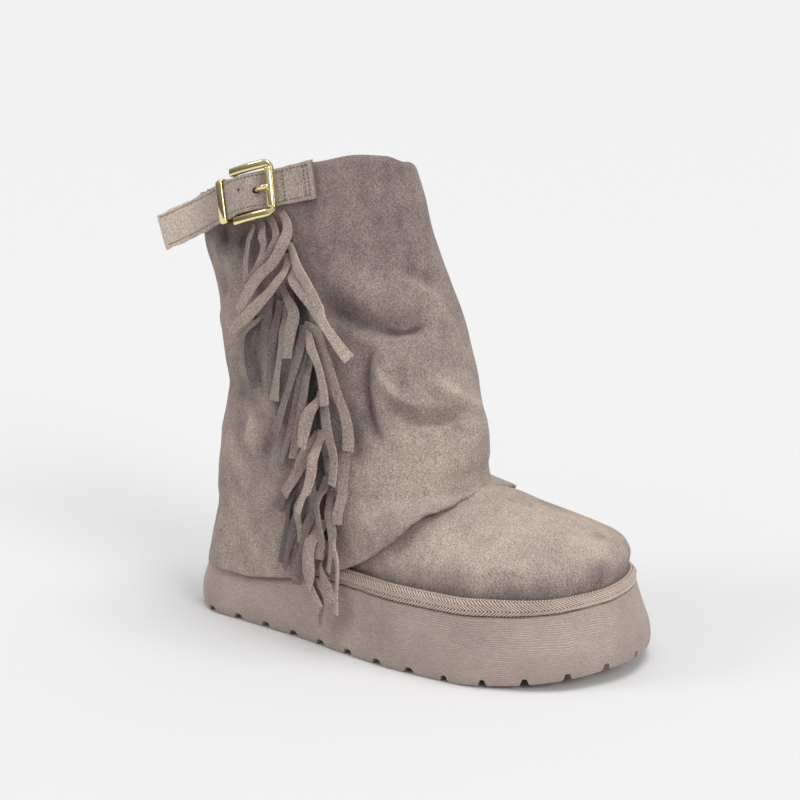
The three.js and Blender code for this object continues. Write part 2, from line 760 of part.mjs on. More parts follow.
// The buckle's own frame: a along the strap to the toe, b across it upwards, n out of the shaft.
function localFrame(place) {
  const x = place.along * SOLE_LENGTH;
  const height = heightOf(place.level);
  const { point, normal } = sidePoint(x, height, 0);
  const reach = 8;
  const slope = strapSlope(place.along);
  const ahead = sidePoint(x + reach, height + slope * reach, 0).point;
  const behind = sidePoint(x - reach, height - slope * reach, 0).point;
  const along = ahead.sub(behind).normalize();
  const across = normal.clone().cross(along).normalize();
  const out = along.clone().cross(across);
  return new THREE.Matrix4().makeBasis(along, across, out).setPosition(point);
}

function strapSlope(along) {
  const rows = STRAP_ROWS.toReversed();
  const level = column(rows, 'along', 'level');
  const step = 0.01;
  const rise = heightOf(level(along + step)) - heightOf(level(along - step));
  return rise / (2 * step * SOLE_LENGTH);
}

function roundedRectangle(shape, halfLength, halfWidth, radius) {
  shape.moveTo(-halfLength + radius, -halfWidth);
  shape.lineTo(0, -halfWidth);
  shape.lineTo(halfLength - radius, -halfWidth);
  shape.quadraticCurveTo(halfLength, -halfWidth, halfLength, -halfWidth + radius);
  shape.lineTo(halfLength, halfWidth - radius);
  shape.quadraticCurveTo(halfLength, halfWidth, halfLength - radius, halfWidth);
  shape.lineTo(0, halfWidth);
  shape.lineTo(-halfLength + radius, halfWidth);
  shape.quadraticCurveTo(-halfLength, halfWidth, -halfLength, halfWidth - radius);
  shape.lineTo(-halfLength, -halfWidth + radius);
  shape.quadraticCurveTo(-halfLength, -halfWidth, -halfLength + radius, -halfWidth);
  return shape;
}

// Bends a piece that is drawn flat, so that it follows the shaft's side.
function bendAlong(geometry) {
  const places = geometry.attributes.position;
  for (let i = 0; i < places.count; i++) {
    places.setZ(i, places.getZ(i) - places.getX(i) ** 2 / (2 * FRAME_BEND_RADIUS));
  }
  return geometry;
}

function barAcross(radius, length, a, n) {
  return new THREE.CylinderGeometry(radius, radius, length, 10).translate(a, 0, n);
}

const frameInner = STRAP_WIDTH + 1.6;
const hingePlace = { a: BAR_WIDTH / 2 - FRAME_LENGTH / 2, n: hingeHeight };
const rollerPlace = { a: FRAME_LENGTH / 2 - BAR_WIDTH / 2, n: rollerHeight };

function buildFrame() {
  const halfLength = FRAME_LENGTH / 2;
  const halfWidth = frameInner / 2 + BAR_WIDTH;
  const corner = 4;
  const bevel = 0.8;
  const shape = roundedRectangle(new THREE.Shape(), halfLength - bevel, halfWidth - bevel, corner);
  const hole = new THREE.Path();
  roundedRectangle(hole, halfLength - BAR_WIDTH + bevel, frameInner / 2 + bevel, 1.2);
  shape.holes.push(hole);
  const options = { depth: BAR_THICKNESS - 2 * bevel, bevelSize: bevel, bevelThickness: bevel };
  const flat = new THREE.ExtrudeGeometry(shape, { ...options, bevelSegments: 1, curveSegments: 2 });
  const lowest = rollerPlace.n - BAR_THICKNESS / 2 + bevel + rollerPlace.a ** 2 / (2 * FRAME_BEND_RADIUS);
  const ring = toSolid(bendAlong(flat.translate(0, 0, lowest)));
  const endCut = new THREE.BoxGeometry(2 * BAR_WIDTH, frameInner, 5 * BAR_THICKNESS);
  const reach = frameInner + BAR_WIDTH;
  const roller = toSolid(barAcross(ROLLER_RADIUS, reach, rollerPlace.a, rollerPlace.n));
  const hinge = toSolid(barAcross(HINGE_RADIUS, reach, hingePlace.a, hingePlace.n));
  const foot = BAR_WIDTH * 0.7;
  const rise = rollerPlace.n - hingePlace.n + HINGE_RADIUS;
  const ear = new THREE.BoxGeometry(foot, foot, rise);
  let solid = ring;
  for (const { a, n } of [rollerPlace, hingePlace]) {
    solid = solid.subtract(toSolid(endCut.clone().translate(a, 0, n)));
  }
  solid = solid.add(roller).add(hinge);
  for (const side of [-1, 1]) {
    const middle = hingePlace.n - HINGE_RADIUS + rise / 2;
    const seated = ear.clone().translate(hingePlace.a, side * (frameInner + BAR_WIDTH) / 2, middle);
    solid = solid.add(toSolid(seated));
  }
  return fromSolid(solid).applyMatrix4(localFrame(BUCKLE_PLACE));
}

function prongCurve(extra) {
  const start = hingePlace.a + HINGE_RADIUS + FIT_GAP + EYE_TUBE;
  const rest = rollerPlace.n + ROLLER_RADIUS + FIT_GAP + PRONG_RADIUS;
  const over = rollerPlace.a;
  const points = [
    [start, hingePlace.n],
    [lerp(start, over, 0.24), hingePlace.n + 0.9],
    [lerp(start, over, 0.47), hingePlace.n + 1.7],
    [lerp(start, over, 0.78), rest - 0.7],
    [over - 2, rest],
    [over + 1.6 + extra, rest - 0.4],
  ];
  return new THREE.CatmullRomCurve3(points.map(([a, n]) => new THREE.Vector3(a, 0, n)));
}

// A round bar along a curve.
function roundBar(curve, radius, steps, sides) {
  const ring = new THREE.Shape();
  for (let i = 0; i < sides; i++) {
    const turn = FULL_TURN * i / sides;
    const place = [radius * Math.cos(turn), radius * Math.sin(turn)];
    if (i === 0) ring.moveTo(...place);
    else ring.lineTo(...place);
  }
  ring.closePath();
  return new THREE.ExtrudeGeometry(ring, { steps, extrudePath: curve, bevelEnabled: false });
}

function buildProng() {
  const bar = toSolid(roundBar(prongCurve(0), PRONG_RADIUS, 9, 8));
  const inner = HINGE_RADIUS + FIT_GAP;
  const profile = [[0, -1], [2, -1], [2, 1], [0, 1], [0, -1]].map(
    ([out, up]) => new THREE.Vector2(inner + out * EYE_TUBE, up * 1.2),
  );
  const eye = new THREE.LatheGeometry(profile, 16).translate(hingePlace.a, 0, 0);
  eye.translate(0, 0, hingePlace.n);
  return fromSolid(bar.add(toSolid(eye))).applyMatrix4(localFrame(BUCKLE_PLACE));
}

function buildStrap() {
  const band = toSolid(bandSolid(stationsAlong(strapPath()), STRAP_WIDTH, STRAP_THICKNESS));
  const hole = roundBar(prongCurve(4), PRONG_RADIUS + HOLE_CLEARANCE, 9, 10);
  const solid = band.subtract(toSolid(hole.applyMatrix4(localFrame(BUCKLE_PLACE))));
  return fromSolid(solid);
}

function buildChape() {
  const strapLevel = column(STRAP_ROWS.toReversed(), 'along', 'level');
  const steps = 5;
  const points = Array.from({ length: steps }, (_, i) => {
    const along = lerp(CHAPE_ENDS.front, CHAPE_ENDS.back, i / (steps - 1));
    return sidePoint(along * SOLE_LENGTH, heightOf(strapLevel(along)), FIT_GAP + CHAPE_THICKNESS / 2);
  });
  return bandSolid(stationsAlong(points), CHAPE_WIDTH, CHAPE_THICKNESS);
}

function buildKeeper() {
  const lift = column(STRAP_ROWS.toReversed(), 'along', 'lift')(KEEPER_PLACE.along);
  const middle = strapStand(lift);
  const play = 0.5;
  const halfAcross = STRAP_WIDTH / 2 + play;
  const halfOut = STRAP_THICKNESS / 2 + play;
  const outer = new THREE.Shape();
  const inner = new THREE.Path();
  const frontWall = 2 * KEEPER_THICKNESS;
  outer.moveTo(-halfAcross - KEEPER_THICKNESS, -halfOut - KEEPER_THICKNESS);
  outer.lineTo(halfAcross + KEEPER_THICKNESS, -halfOut - KEEPER_THICKNESS);
  outer.lineTo(halfAcross + KEEPER_THICKNESS, halfOut + 0.4 * frontWall);
  outer.lineTo(halfAcross, halfOut + frontWall);
  outer.lineTo(-halfAcross, halfOut + frontWall);
  outer.lineTo(-halfAcross - KEEPER_THICKNESS, halfOut + 0.4 * frontWall);
  outer.closePath();
  inner.moveTo(-halfAcross, -halfOut);
  inner.lineTo(-halfAcross, halfOut);
  inner.lineTo(halfAcross, halfOut);
  inner.lineTo(halfAcross, -halfOut);
  inner.closePath();
  outer.holes.push(inner);
  const loop = new THREE.ExtrudeGeometry(outer, { depth: KEEPER_WIDTH, bevelEnabled: false });
  const axes = new THREE.Matrix4().makeBasis(
    new THREE.Vector3(0, 1, 0),
    new THREE.Vector3(0, 0, 1),
    new THREE.Vector3(1, 0, 0),
  );
  loop.translate(0, 0, -KEEPER_WIDTH / 2).applyMatrix4(axes).translate(0, 0, middle);
  return loop.applyMatrix4(localFrame(KEEPER_PLACE));
}

// Fringe

const seamAlong = column(SEAM, 'level', 'along');

function seamPlace(level) {
  return { x: seamAlong(level) * SOLE_LENGTH, height: heightOf(level) };
}

// A point over the buckled side, below the hem too, where it hangs clear of the platform.
function hangingPoint(x, height, stand) {
  const lowest = SOLE_HEIGHT * 0.4;
  const over = sidePoint(x, Math.max(height, lowest), stand);
  over.point.z = height;
  over.normal.z = 0;
  over.normal.normalize();
  return over;
}

function buildStrip({ root, along, level, bow, layer }) {
  const start = seamPlace(root);
  const end = { x: along * SOLE_LENGTH, height: heightOf(level) };
  const points = Array.from({ length: STRIP_STEPS + 1 }, (_, i) => {
    const s = i / STRIP_STEPS;
    const x = lerp(start.x, end.x, s) + SOLE_LENGTH * bow * Math.sin(Math.PI * s);
    const height = lerp(start.height, end.height, s);
    const settled = Math.min(1, 2 * s);
    const stand = lerp(BAND_STAND + ROOT_LIFT, BAND_STAND + layer * LAYER_STAND, settled);
    return hangingPoint(x, height, stand);
  });
  return bandSolid(stationsAlong(points), STRIP_WIDTH, STRIP_THICKNESS);
}

function buildFringe() {
  const points = Array.from({ length: BAND_STEPS + 1 }, (_, i) => {
    const level = lerp(STRIPS[0].root, STRIPS.at(-1).root, i / BAND_STEPS);
    const { x, height } = seamPlace(level);
    return sidePoint(x, height, BAND_STAND);
  });
  let solid = toSolid(bandSolid(stationsAlong(points), BAND_WIDTH, STRIP_THICKNESS));
  for (const strip of STRIPS) {
    solid = solid.add(toSolid(buildStrip(strip)));
  }
  return fromSolid(solid);
}

// Assembly

const suede = { color: 0x8c7d76, roughness: 0.95, metalness: 0 };
const lining = { color: 0x9a8c84, roughness: 0.95, metalness: 0 };
const moulded = { color: 0x8f7d75, roughness: 0.7, metalness: 0 };
const woven = { color: 0x85746b, roughness: 0.85, metalness: 0 };
const gilt = { color: 0xe3d59a, roughness: 0.2, metalness: 1 };

const pieces = [
  ['outsole', buildOutsole, moulded],
  ['welt_tape', buildTape, woven],
  ['insole', buildInsole, lining],
  ['upper', buildUpper, suede],
  ['shaft_cover', buildCover, suede],
  ['fringe', buildFringe, suede],
  ['strap', buildStrap, suede],
  ['chape', buildChape, suede],
  ['keeper', buildKeeper, gilt],
  ['buckle_frame', buildFrame, gilt],
  ['buckle_prong', buildProng, gilt],
];

const group = new THREE.Group();
group.position.set(-HEEL_MIDDLE, 0, 0);
for (const [name, build, finish] of pieces) {
  const mesh = new THREE.Mesh(build(), new THREE.MeshStandardMaterial(finish));
  mesh.name = name;
  group.add(mesh);
}

export default group;
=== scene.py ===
"""Looks of a fold-over platform boot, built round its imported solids.

The boot is suede: a round-toed upper on a thick moulded platform, a herringbone tape round their
joint, a shaft that is folded down over itself, a hanging fringe, and a strap with a gilt buckle.
Shapes are worked out in millimetres with the heel's rearmost point at x = 0, and moved into the
frame's own place and metres when a mesh is made.
"""

import logging
import math
from dataclasses import dataclass
from enum import Enum
from typing import Callable, Sequence

import bpy
import numpy as np
from mathutils import Matrix, Vector


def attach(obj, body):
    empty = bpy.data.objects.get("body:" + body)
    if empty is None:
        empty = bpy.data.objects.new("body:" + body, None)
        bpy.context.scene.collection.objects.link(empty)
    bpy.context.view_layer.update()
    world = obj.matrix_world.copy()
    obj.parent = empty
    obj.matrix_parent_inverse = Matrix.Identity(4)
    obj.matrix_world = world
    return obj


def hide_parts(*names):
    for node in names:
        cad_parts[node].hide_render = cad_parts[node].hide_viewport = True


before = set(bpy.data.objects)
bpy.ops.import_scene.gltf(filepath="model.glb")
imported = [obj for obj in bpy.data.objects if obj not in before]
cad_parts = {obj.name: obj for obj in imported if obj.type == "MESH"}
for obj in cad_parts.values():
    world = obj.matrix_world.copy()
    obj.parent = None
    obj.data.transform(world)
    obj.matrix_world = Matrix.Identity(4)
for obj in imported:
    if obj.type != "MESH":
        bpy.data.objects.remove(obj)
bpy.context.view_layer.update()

log = logging.getLogger("boot")
MILLIMETRE = 0.001
HEEL_MIDDLE = 40.0
FULL_TURN = 2 * math.pi
TOP_GAP = 0.3
THREAD_SIZE = (0.62, 0.5)
SCATTER_SEED = 7
GOLDEN_TURN = 2.399
FLOAT_MIN, FLOAT_MAX, FLOAT_VALUE = 2, 3, 1
FINE_ANGLES = np.linspace(0, FULL_TURN, 2400)

# Short names for types

Array = np.ndarray
Material = bpy.types.Material
Piece = bpy.types.Object
Socket = bpy.types.NodeSocket
Curve = Callable[[Array], Array]
Places = Sequence[tuple[float, float]]


def smooth_curve(xs: Sequence[float], ys: Sequence[float]) -> Curve:
    """A curve through points that does not overshoot them.

    Args:
        xs: rising positions.
        ys: values there.

    Returns:
        A function of an array of positions, held level outside them.
    """
    x, y = np.asarray(xs, float), np.asarray(ys, float)
    step = np.diff(x)
    slope = np.diff(y) / step
    first = 2 * step[1:] + step[:-1]
    second = step[1:] + 2 * step[:-1]
    turning = slope[:-1] * slope[1:] <= 0
    safe = np.where(slope == 0, 1.0, slope)
    inner = np.where(turning, 0.0, (first + second) / (first / safe[:-1] + second / safe[1:]))
    tangent = np.concatenate([[slope[0]], inner, [slope[-1]]])

    def curve(value: Array) -> Array:
        """The curve's value at each position."""
        v = np.clip(value, x[0], x[-1])
        i = np.clip(np.searchsorted(x, v, side="left") - 1, 0, len(step) - 1)
        s = (v - x[i]) / step[i]
        rise = y[i + 1] - y[i]
        c, d = tangent[i] * step[i], tangent[i + 1] * step[i]
        return y[i] + s * (c + s * (3 * rise - 2 * c - d + s * (c + d - 2 * rise)))

    return curve


def columns_of(names: str, rows: Sequence[Sequence[float]]) -> dict[str, Curve]:
    """Curves over the first column of a table, one for each further column, by name."""
    table = np.array(rows, float).T
    return {name: smooth_curve(table[0], table[i + 1]) for i, name in enumerate(names.split())}


def unit(vectors: Array) -> Array:
    """The vectors at length one."""
    return vectors / np.maximum(np.linalg.norm(vectors, axis=-1, keepdims=True), 1e-9)


def share_of(angle: Array) -> Array:
    """Share of the way from heel to toe at an angle round the outline."""
    return (1 - np.cos(angle)) / 2


def mix(a: Array, b: Array, share: Array) -> Array:
    """Between a and b by a share."""
    return a + (b - a) * share


def ease(value: Array) -> Array:
    """A soft step from 0 to 1."""
    v = np.clip(value, 0.0, 1.0)
    return v * v * (3 - 2 * v)


@dataclass(frozen=True)
class Waves:
    """Slow unevenness: waves of seeded directions and lengths, laid over each other."""

    seed: int
    longest: float
    shortest: float
    count: int = 22

    def at(self, points: Array) -> Array:
        """The waves' sum at points, mostly between -1 and 1."""
        pick = np.random.default_rng(self.seed)
        way = unit(pick.normal(size=(self.count, 3)))
        length = self.longest * (self.shortest / self.longest) ** pick.random(self.count)
        phase = pick.random(self.count) * FULL_TURN
        sines = np.sin(points @ (way.T * FULL_TURN / length) + phase)
        weight = length / length.sum()
        return 2.4 * (sines * weight).sum(-1)


def around(columns: int) -> Array:
    """Angles of a ring's points, evenly round from the heel."""
    return np.linspace(0, FULL_TURN, columns, endpoint=False)


def bell(offset: Array) -> Array:
    """A soft hump: 1 in the middle, near 0 at twice the reach."""
    return np.exp(-(offset ** 2))


def sample(path: Array, run: Array, places: Array) -> Array:
    """Points of a path at distances travelled along it."""
    return np.stack([np.interp(places, run, path[:, k]) for k in range(path.shape[1])], -1)


def run_length(points: Array) -> Array:
    """Distance travelled along points."""
    return np.concatenate([[0], np.cumsum(np.linalg.norm(np.diff(points, axis=0), axis=1))])


def rumple(points: Array, slow: Waves, slow_depth: float, quick: Waves) -> Array:
    """Unevenness of soft suede in millimetres: slow waves with slight quick ones over them."""
    return slow_depth * slow.at(points) + 0.12 * quick.at(points)


def thread_curve(points: Array, count: int) -> Array:
    """Even samples of a smooth curve through points.

    Args:
        points: places that the curve passes through.
        count: how many samples to give.

    Returns:
        The samples, from the first point to the last.
    """
    padded = np.vstack([2 * points[0] - points[1], points, 2 * points[-1] - points[-2]])
    fine = []
    for i in range(len(points) - 1):
        a, b, c, d = padded[i:i + 4]
        t = np.linspace(0, 1, 16, endpoint=False)[:, None]
        fine.append(0.5 * (2 * b + (c - a) * t + (2 * a - 5 * b + 4 * c - d) * t ** 2
                           + (3 * b - a - 3 * c + d) * t ** 3))
    dense = np.vstack(fine + [points[-1:]])
    run = run_length(dense)
    return sample(dense, run, np.linspace(0, run[-1], count))


# Shape of the platform, the upper and the folded shaft


@dataclass
class Platform:
    """The platform's plan and wall, in the shoe's own sizes."""

    length: float = 275.0
    ball: float = 120.0
    height: float = 35.0
    heel_raise: float = 3.0
    toe_spring: float = 7.9
    side_flare: float = 3.6
    toe_flare: float = 5.5
    heel_flare: float = 9.6
    outline: tuple = (
        (0.000, 0.000, 0.000), (0.012, 0.131, 0.131), (0.050, 0.270, 0.272), (0.120, 0.368, 0.365),
        (0.220, 0.388, 0.402), (0.360, 0.422, 0.393), (0.500, 0.475, 0.412), (0.630, 0.507, 0.468),
        (0.750, 0.503, 0.496), (0.860, 0.429, 0.458), (0.940, 0.308, 0.347), (0.985, 0.137, 0.188),
        (1.000, 0.000, 0.000),
    )

    def __post_init__(self) -> None:
        """Prepares the half-width curves."""
        along, lateral, medial = np.array(self.outline).T
        turn = np.arccos(1 - 2 * along)
        self.lateral = smooth_curve(turn, lateral)
        self.medial = smooth_curve(turn, medial)

    def widest(self, angle: Array) -> Array:
        """The plan's points at angles: 0 at the heel, a quarter turn on the buckled side."""
        turned = np.mod(angle, FULL_TURN)
        near = -self.lateral(np.minimum(turned, math.pi))
        far = self.medial(np.minimum(FULL_TURN - turned, math.pi))
        half = np.where(turned <= math.pi, near, far)
        return np.stack([self.length * share_of(turned), half * self.ball], -1)

    def outward(self, angle: Array) -> Array:
        """The outward direction at angles."""
        way = unit(self.widest(angle + 0.01) - self.widest(angle - 0.01))
        return np.stack([way[..., 1], -way[..., 0]], -1)

    def inset(self, angle: Array, flare: float, depth: float) -> Array:
        """The plan drawn in by a share of the flare and by a depth all round."""
        out = self.outward(angle)
        toe = self.toe_flare * np.maximum(out[..., 0], 0) ** 2
        heel = self.heel_flare * np.maximum(-out[..., 0], 0) ** 2
        inwards = flare * (self.side_flare + toe + heel) + depth
        return self.widest(angle) - out * inwards[..., None]

    def oval(self, angle: Array, depth: float, ends: tuple, wide: tuple, half: tuple,
             share: Array) -> tuple:
        """The plan drawn to new ends and widths, and partly turned into an oval.

        Args:
            angle: angles round the outline.
            depth: how far the plan is drawn in first.
            ends: where the heel and the toe come to lie.
            wide: factors of the width at the heel and at the toe.
            half: the oval's half width on each side, as shares of the ball's width.
            share: how much of the oval is mixed in.

        Returns:
            Distances along the foot and across it.
        """
        plan = self.inset(angle, 1.0, depth)
        heel, toe = self.ends(depth)
        along = (plan[..., 0] - heel) / (toe - heel)
        across = self.ball * np.where(np.sin(angle) >= 0, *half)
        x = mix(mix(*ends, along), mix(*ends, share_of(angle)), share)
        return x, mix(plan[..., 1] * mix(*wide, along), -np.sin(angle) * across, share)

    def ends(self, depth: float) -> Array:
        """Where the heel and the toe of the plan lie, drawn in by a depth."""
        return self.inset(np.array([0.0, math.pi]), 1.0, depth)[:, 0]

    def floor_rise(self, x: Array) -> Array:
        """How far the underside has sprung from the floor."""
        return self.toe_spring * np.clip((x / self.length - 0.7) / 0.3, 0, 1) ** 2

    def top(self, x: Array) -> Array:
        """Height of the platform's top."""
        wedge = np.clip(1 - x / (0.6 * self.length), 0, 1)
        return self.height + self.heel_raise * wedge + 0.6 * self.floor_rise(x)


@dataclass(frozen=True)
class Fold:
    """A soft trough or ridge, drawn through places given as degrees from the heel and height.

    A steep share narrows it above a line that runs round, or beyond one that runs down, towards
    the toe; a steep share below zero narrows the other side.
    """

    places: tuple
    depth: float
    width: float
    lip: float = 0.0
    steep: float = 0.0


BUCKLED_SIDE_FOLDS = (
    Fold(((104, 182), (114, 176), (124, 171), (136, 167.5), (149, 167.5), (164, 171)), -5.2, 9.0, 0.2, -0.62),
    Fold(((132, 168), (141, 166.5), (150, 168), (159, 171.5)), -1.7, 1.3, 0.35, -0.3),
    Fold(((144, 193), (156, 191), (167, 184), (171, 175), (168, 166)), 2.3, 3.6, 0.0, 0.3),
    Fold(((150, 198), (163, 194), (172, 187)), -1.8, 4.0),
    Fold(((128, 162), (124, 150), (122, 136), (123, 121), (127, 109)), -4.2, 5.0, 0.25, 0.6),
    Fold(((128, 151), (131, 142), (137, 134.5), (148, 129)), 2.4, 3.0, 0.0, 0.3),
    Fold(((128, 138), (133, 129), (144, 122.5), (158, 123), (178, 126)), -3.8, 5.5, 0.3, -0.6),
    Fold(((150, 144), (161, 139), (174, 131), (197, 121)), 2.9, 4.0),
    Fold(((146, 139), (156, 134), (168, 130)), -1.1, 2.6),
    Fold(((168, 149), (192, 142)), -1.4, 4.0),
    Fold(((127, 119), (134, 112), (146, 107)), 1.4, 6.0),
    Fold(((160, 120), (168, 114), (177, 110)), -1.2, 2.8),
    Fold(((67, 124), (63, 110), (62, 96)), 2.2, 3.4),
    Fold(((79, 120), (75, 106), (71, 94)), -3.0, 5.0, 0.2, -0.4),
    Fold(((20, 127), (40, 127), (58, 127), (70, 124)), -3.0, 7.5, 0.0, -0.4),
    Fold(((30, 196), (42, 190), (52, 176)), -2.4, 6.0, 0.2, -0.4),
    Fold(((30, 163), (50, 163), (62, 159)), 1.6, 7.0),
    Fold(((40, 98), (56, 88), (64, 80)), 1.4, 8.0),
    Fold(((110, 134), (113, 117), (115, 96)), -2.2, 7.0),
    Fold(((133, 161), (142, 161.5), (152, 163)), -0.8, 1.2),
    Fold(((135, 164), (143, 164.5), (149, 165.5)), 0.6, 1.4),
    Fold(((132, 157), (140, 158), (147, 158)), -0.5, 1.4),
    Fold(((118, 214), (134, 206), (150, 206)), -0.9, 8.0),
    Fold(((60, 66), (74, 60), (88, 62)), -0.9, 8.0),
    Fold(((96, 74), (110, 84), (128, 96)), 1.0, 9.0),
)
INNER_SIDE_FOLDS = (
    Fold(((214, 172), (226, 167), (240, 169), (256, 177)), -4.6, 8.0, 0.25, -0.6),
    Fold(((222, 167), (232, 166), (244, 170)), -1.6, 1.4, 0.3),
    Fold(((204, 126), (216, 119), (232, 120), (248, 128)), -3.8, 6.0, 0.3, -0.55),
    Fold(((240, 160), (244, 146), (243, 130), (239, 112)), -3.4, 4.8, 0.25, -0.5),
    Fold(((214, 148), (226, 142), (238, 144)), 2.2, 4.4),
    Fold(((262, 190), (276, 178), (292, 172)), -2.6, 6.0, 0.2, -0.4),
    Fold(((278, 132), (296, 126), (318, 127), (342, 127)), -3.0, 7.0, 0.2, -0.4),
    Fold(((256, 112), (266, 98), (270, 84)), -2.4, 5.0, 0.2, 0.4),
    Fold(((282, 158), (300, 162), (322, 162)), 1.8, 6.0),
    Fold(((292, 98), (306, 88), (320, 84)), 1.4, 8.0),
    Fold(((224, 206), (240, 208), (256, 216)), -0.9, 8.0),
    Fold(((206, 96), (222, 92), (238, 96)), 1.0, 8.0),
)


@dataclass
class Shaft:
    """The folded shaft's outer face and all that is placed on it."""

    platform: Platform
    instep_rise: float = 48.0
    shaft_rise: float = 172.0
    wall: float = 1.7
    rows: tuple = (
        (-0.310, 0.0180, 0.9850, 1.024, 1.060, 0.00, 0.400, 0.390),
        (-0.104, 0.0320, 0.9840, 1.010, 1.055, 0.00, 0.400, 0.390),
        (0.104, 0.0420, 0.9820, 1.000, 1.048, 0.00, 0.400, 0.390),
        (0.310, 0.0520, 0.9750, 0.976, 1.030, 0.02, 0.400, 0.390),
        (0.460, 0.0570, 0.9550, 0.954, 1.005, 0.06, 0.400, 0.390),
        (0.600, 0.0585, 0.9150, 0.948, 0.975, 0.10, 0.400, 0.390),
        (0.730, 0.0560, 0.8520, 0.955, 0.930, 0.18, 0.398, 0.390),
        (0.830, 0.0570, 0.7810, 0.948, 0.882, 0.28, 0.398, 0.386),
        (0.920, 0.0575, 0.7080, 0.942, 0.828, 0.42, 0.396, 0.382),
        (1.006, 0.0570, 0.6640, 0.940, 0.777, 0.56, 0.394, 0.376),
        (1.047, 0.0565, 0.6620, 0.942, 0.757, 0.70, 0.392, 0.376),
        (1.087, 0.0575, 0.6680, 0.945, 0.740, 0.82, 0.390, 0.377),
        (1.134, 0.0640, 0.6680, 0.950, 0.720, 0.92, 0.388, 0.378),
        (1.174, 0.0720, 0.6660, 0.950, 0.700, 0.98, 0.386, 0.377),
        (1.244, 0.0800, 0.6530, 0.950, 0.700, 1.00, 0.383, 0.375),
        (1.331, 0.0720, 0.6450, 0.950, 0.700, 1.00, 0.376, 0.369),
        (1.419, 0.0630, 0.6300, 0.950, 0.700, 1.00, 0.366, 0.359),
        (1.506, 0.0600, 0.6150, 0.950, 0.700, 1.00, 0.350, 0.344),
        (1.593, 0.0450, 0.5960, 0.950, 0.700, 1.00, 0.328, 0.322),
        (1.680, 0.0200, 0.5760, 0.950, 0.700, 1.00, 0.300, 0.295),
        (1.767, 0.0080, 0.5560, 0.950, 0.700, 1.00, 0.270, 0.265),
        (1.855, -0.0040, 0.5440, 0.950, 0.700, 1.00, 0.240, 0.235),
        (1.942, -0.0070, 0.5290, 0.950, 0.700, 1.00, 0.213, 0.208),
        (2.017, -0.0060, 0.5160, 0.950, 0.700, 1.00, 0.195, 0.190),
    )
    hem: tuple = (
        (0.000, -0.140, -0.140), (0.060, -0.150, -0.150), (0.110, -0.165, -0.165),
        (0.160, -0.185, -0.185), (0.220, -0.180, -0.180), (0.300, -0.105, -0.105), (0.365, -0.020, -0.020),
        (0.425, 0.090, 0.090),
        (0.488, 0.240, 0.240), (0.555, 0.430, 0.430), (0.605, 0.560, 0.560),
        (0.670, 0.680, 0.680), (0.757, 0.800, 0.800), (0.846, 0.880, 0.882),
        (0.900, 0.910, 0.918), (0.940, 0.934, 0.946), (0.972, 0.957, 0.965), (1.000, 0.982, 0.982),
    )
    collar: tuple = (
        (0.00, 1.838, 1.838), (0.18, 1.862, 1.848), (0.30, 1.898, 1.864), (0.55, 1.954, 1.908),
        (0.70, 1.974, 1.930), (0.86, 1.996, 1.952), (0.95, 1.992, 1.960), (1.00, 1.972, 1.972),
    )
    folds: tuple = BUCKLED_SIDE_FOLDS + INNER_SIDE_FOLDS
    hem_lifts: tuple = ((68, 20, 16, 2.2), (160, 22, 7, 0.8), (222, 20, 9, -2.8))
    # Painted shade and light with some tone, as degrees, height, reach and strength: lighter and darker
    # patches, and strong dark ones that paint the shadow under the strap and buckle and between the fringe
    # strips.
    patches: tuple = (
        (62, 209, 10, -0.90), (82, 206, 9, -0.60), (108, 228, 8, -0.35), (88, 170, 12, -0.35),
        (98, 120, 16, -0.55), (94, 90, 16, -0.55), (112, 184, 22, -0.35), (115, 160, 15, -0.35),
        (111, 120, 18, -0.40), (98, 150, 16, -0.30), (112, 70, 12, -0.40), (92, 190, 16, -0.25),
        (129, 232, 30, -0.20), (155, 214, 26, -0.15), (126, 184, 18, -0.15), (138, 96, 22, 0.45),
        (141, 161, 9, 0.45), (163, 186, 14, 0.20), (131, 141, 6, 0.30), (153, 140, 11, 0.30),
        (179, 132, 11, 0.25), (142, 98, 22, 0.40), (121, 86, 16, 0.20), (168, 104, 20, 0.35),
        (28, 155, 16, 0.35), (60, 108, 10, 0.10), (56, 66, 20, 0.10), (45, 197, 14, 0.25),
        (52, 132, 20, -0.35), (75, 118, 13, -0.40), (62, 84, 12, -0.25), (58, 181, 9, -0.20),
        (80, 100, 14, -0.30), (250, 120, 30, -0.20), (214, 200, 30, -0.20), (236, 90, 26, 0.30),
        (300, 150, 24, 0.25), (270, 200, 26, -0.20), (93, 92, 5, -1.80), (87, 77, 5, -2.00),
        (75, 60, 5, -2.00), (92, 76, 4, -1.40), (82, 48, 5, -1.20), (86, 99, 5, -1.00),
        (105, 103, 4, -1.30), (99, 121, 5, -1.40), (96, 166, 5, -1.20), (90, 180, 6, -1.30),
        (78, 184, 4, -0.80), (82, 157, 5, -0.90), (109, 80, 5, -0.70), (73, 210, 8, -1.20),
        (59, 208, 8, -0.90), (47, 150, 8, 0.50), (64, 164, 7, 0.40), (50, 172, 8, 0.30),
        (43, 186, 7, 0.25), (38, 129, 8, 0.35), (25, 118, 8, 0.20), (64, 150, 5, -0.30),
        (70, 183, 8, -0.40), (65, 111, 5, 0.60), (65, 103, 5, 0.45), (54, 110, 7, -0.45),
        (72, 95, 8, -0.50), (48, 98, 6, 0.30), (60, 87, 7, 0.35), (68, 77, 8, 0.50),
        (47, 78, 8, -0.30), (68, 68, 7, -0.40), (57, 55, 8, -0.35), (43, 39, 7, 0.35),
        (59, 42, 9, 0.25), (68, 49, 7, -0.45), (84, 107, 7, -0.50), (56, 205, 8, -0.70),
        (69, 203, 8, -0.60), (34, 192, 6, 0.30),
    )

    def __post_init__(self) -> None:
        """Prepares the curves over height and round the rims."""
        names = "back front heel_wide toe_wide round lateral medial"
        self.section = columns_of(names, self.rows)
        self.hem_line = columns_of("lateral medial", self.hem)
        self.rim_line = columns_of("lateral medial", self.collar)

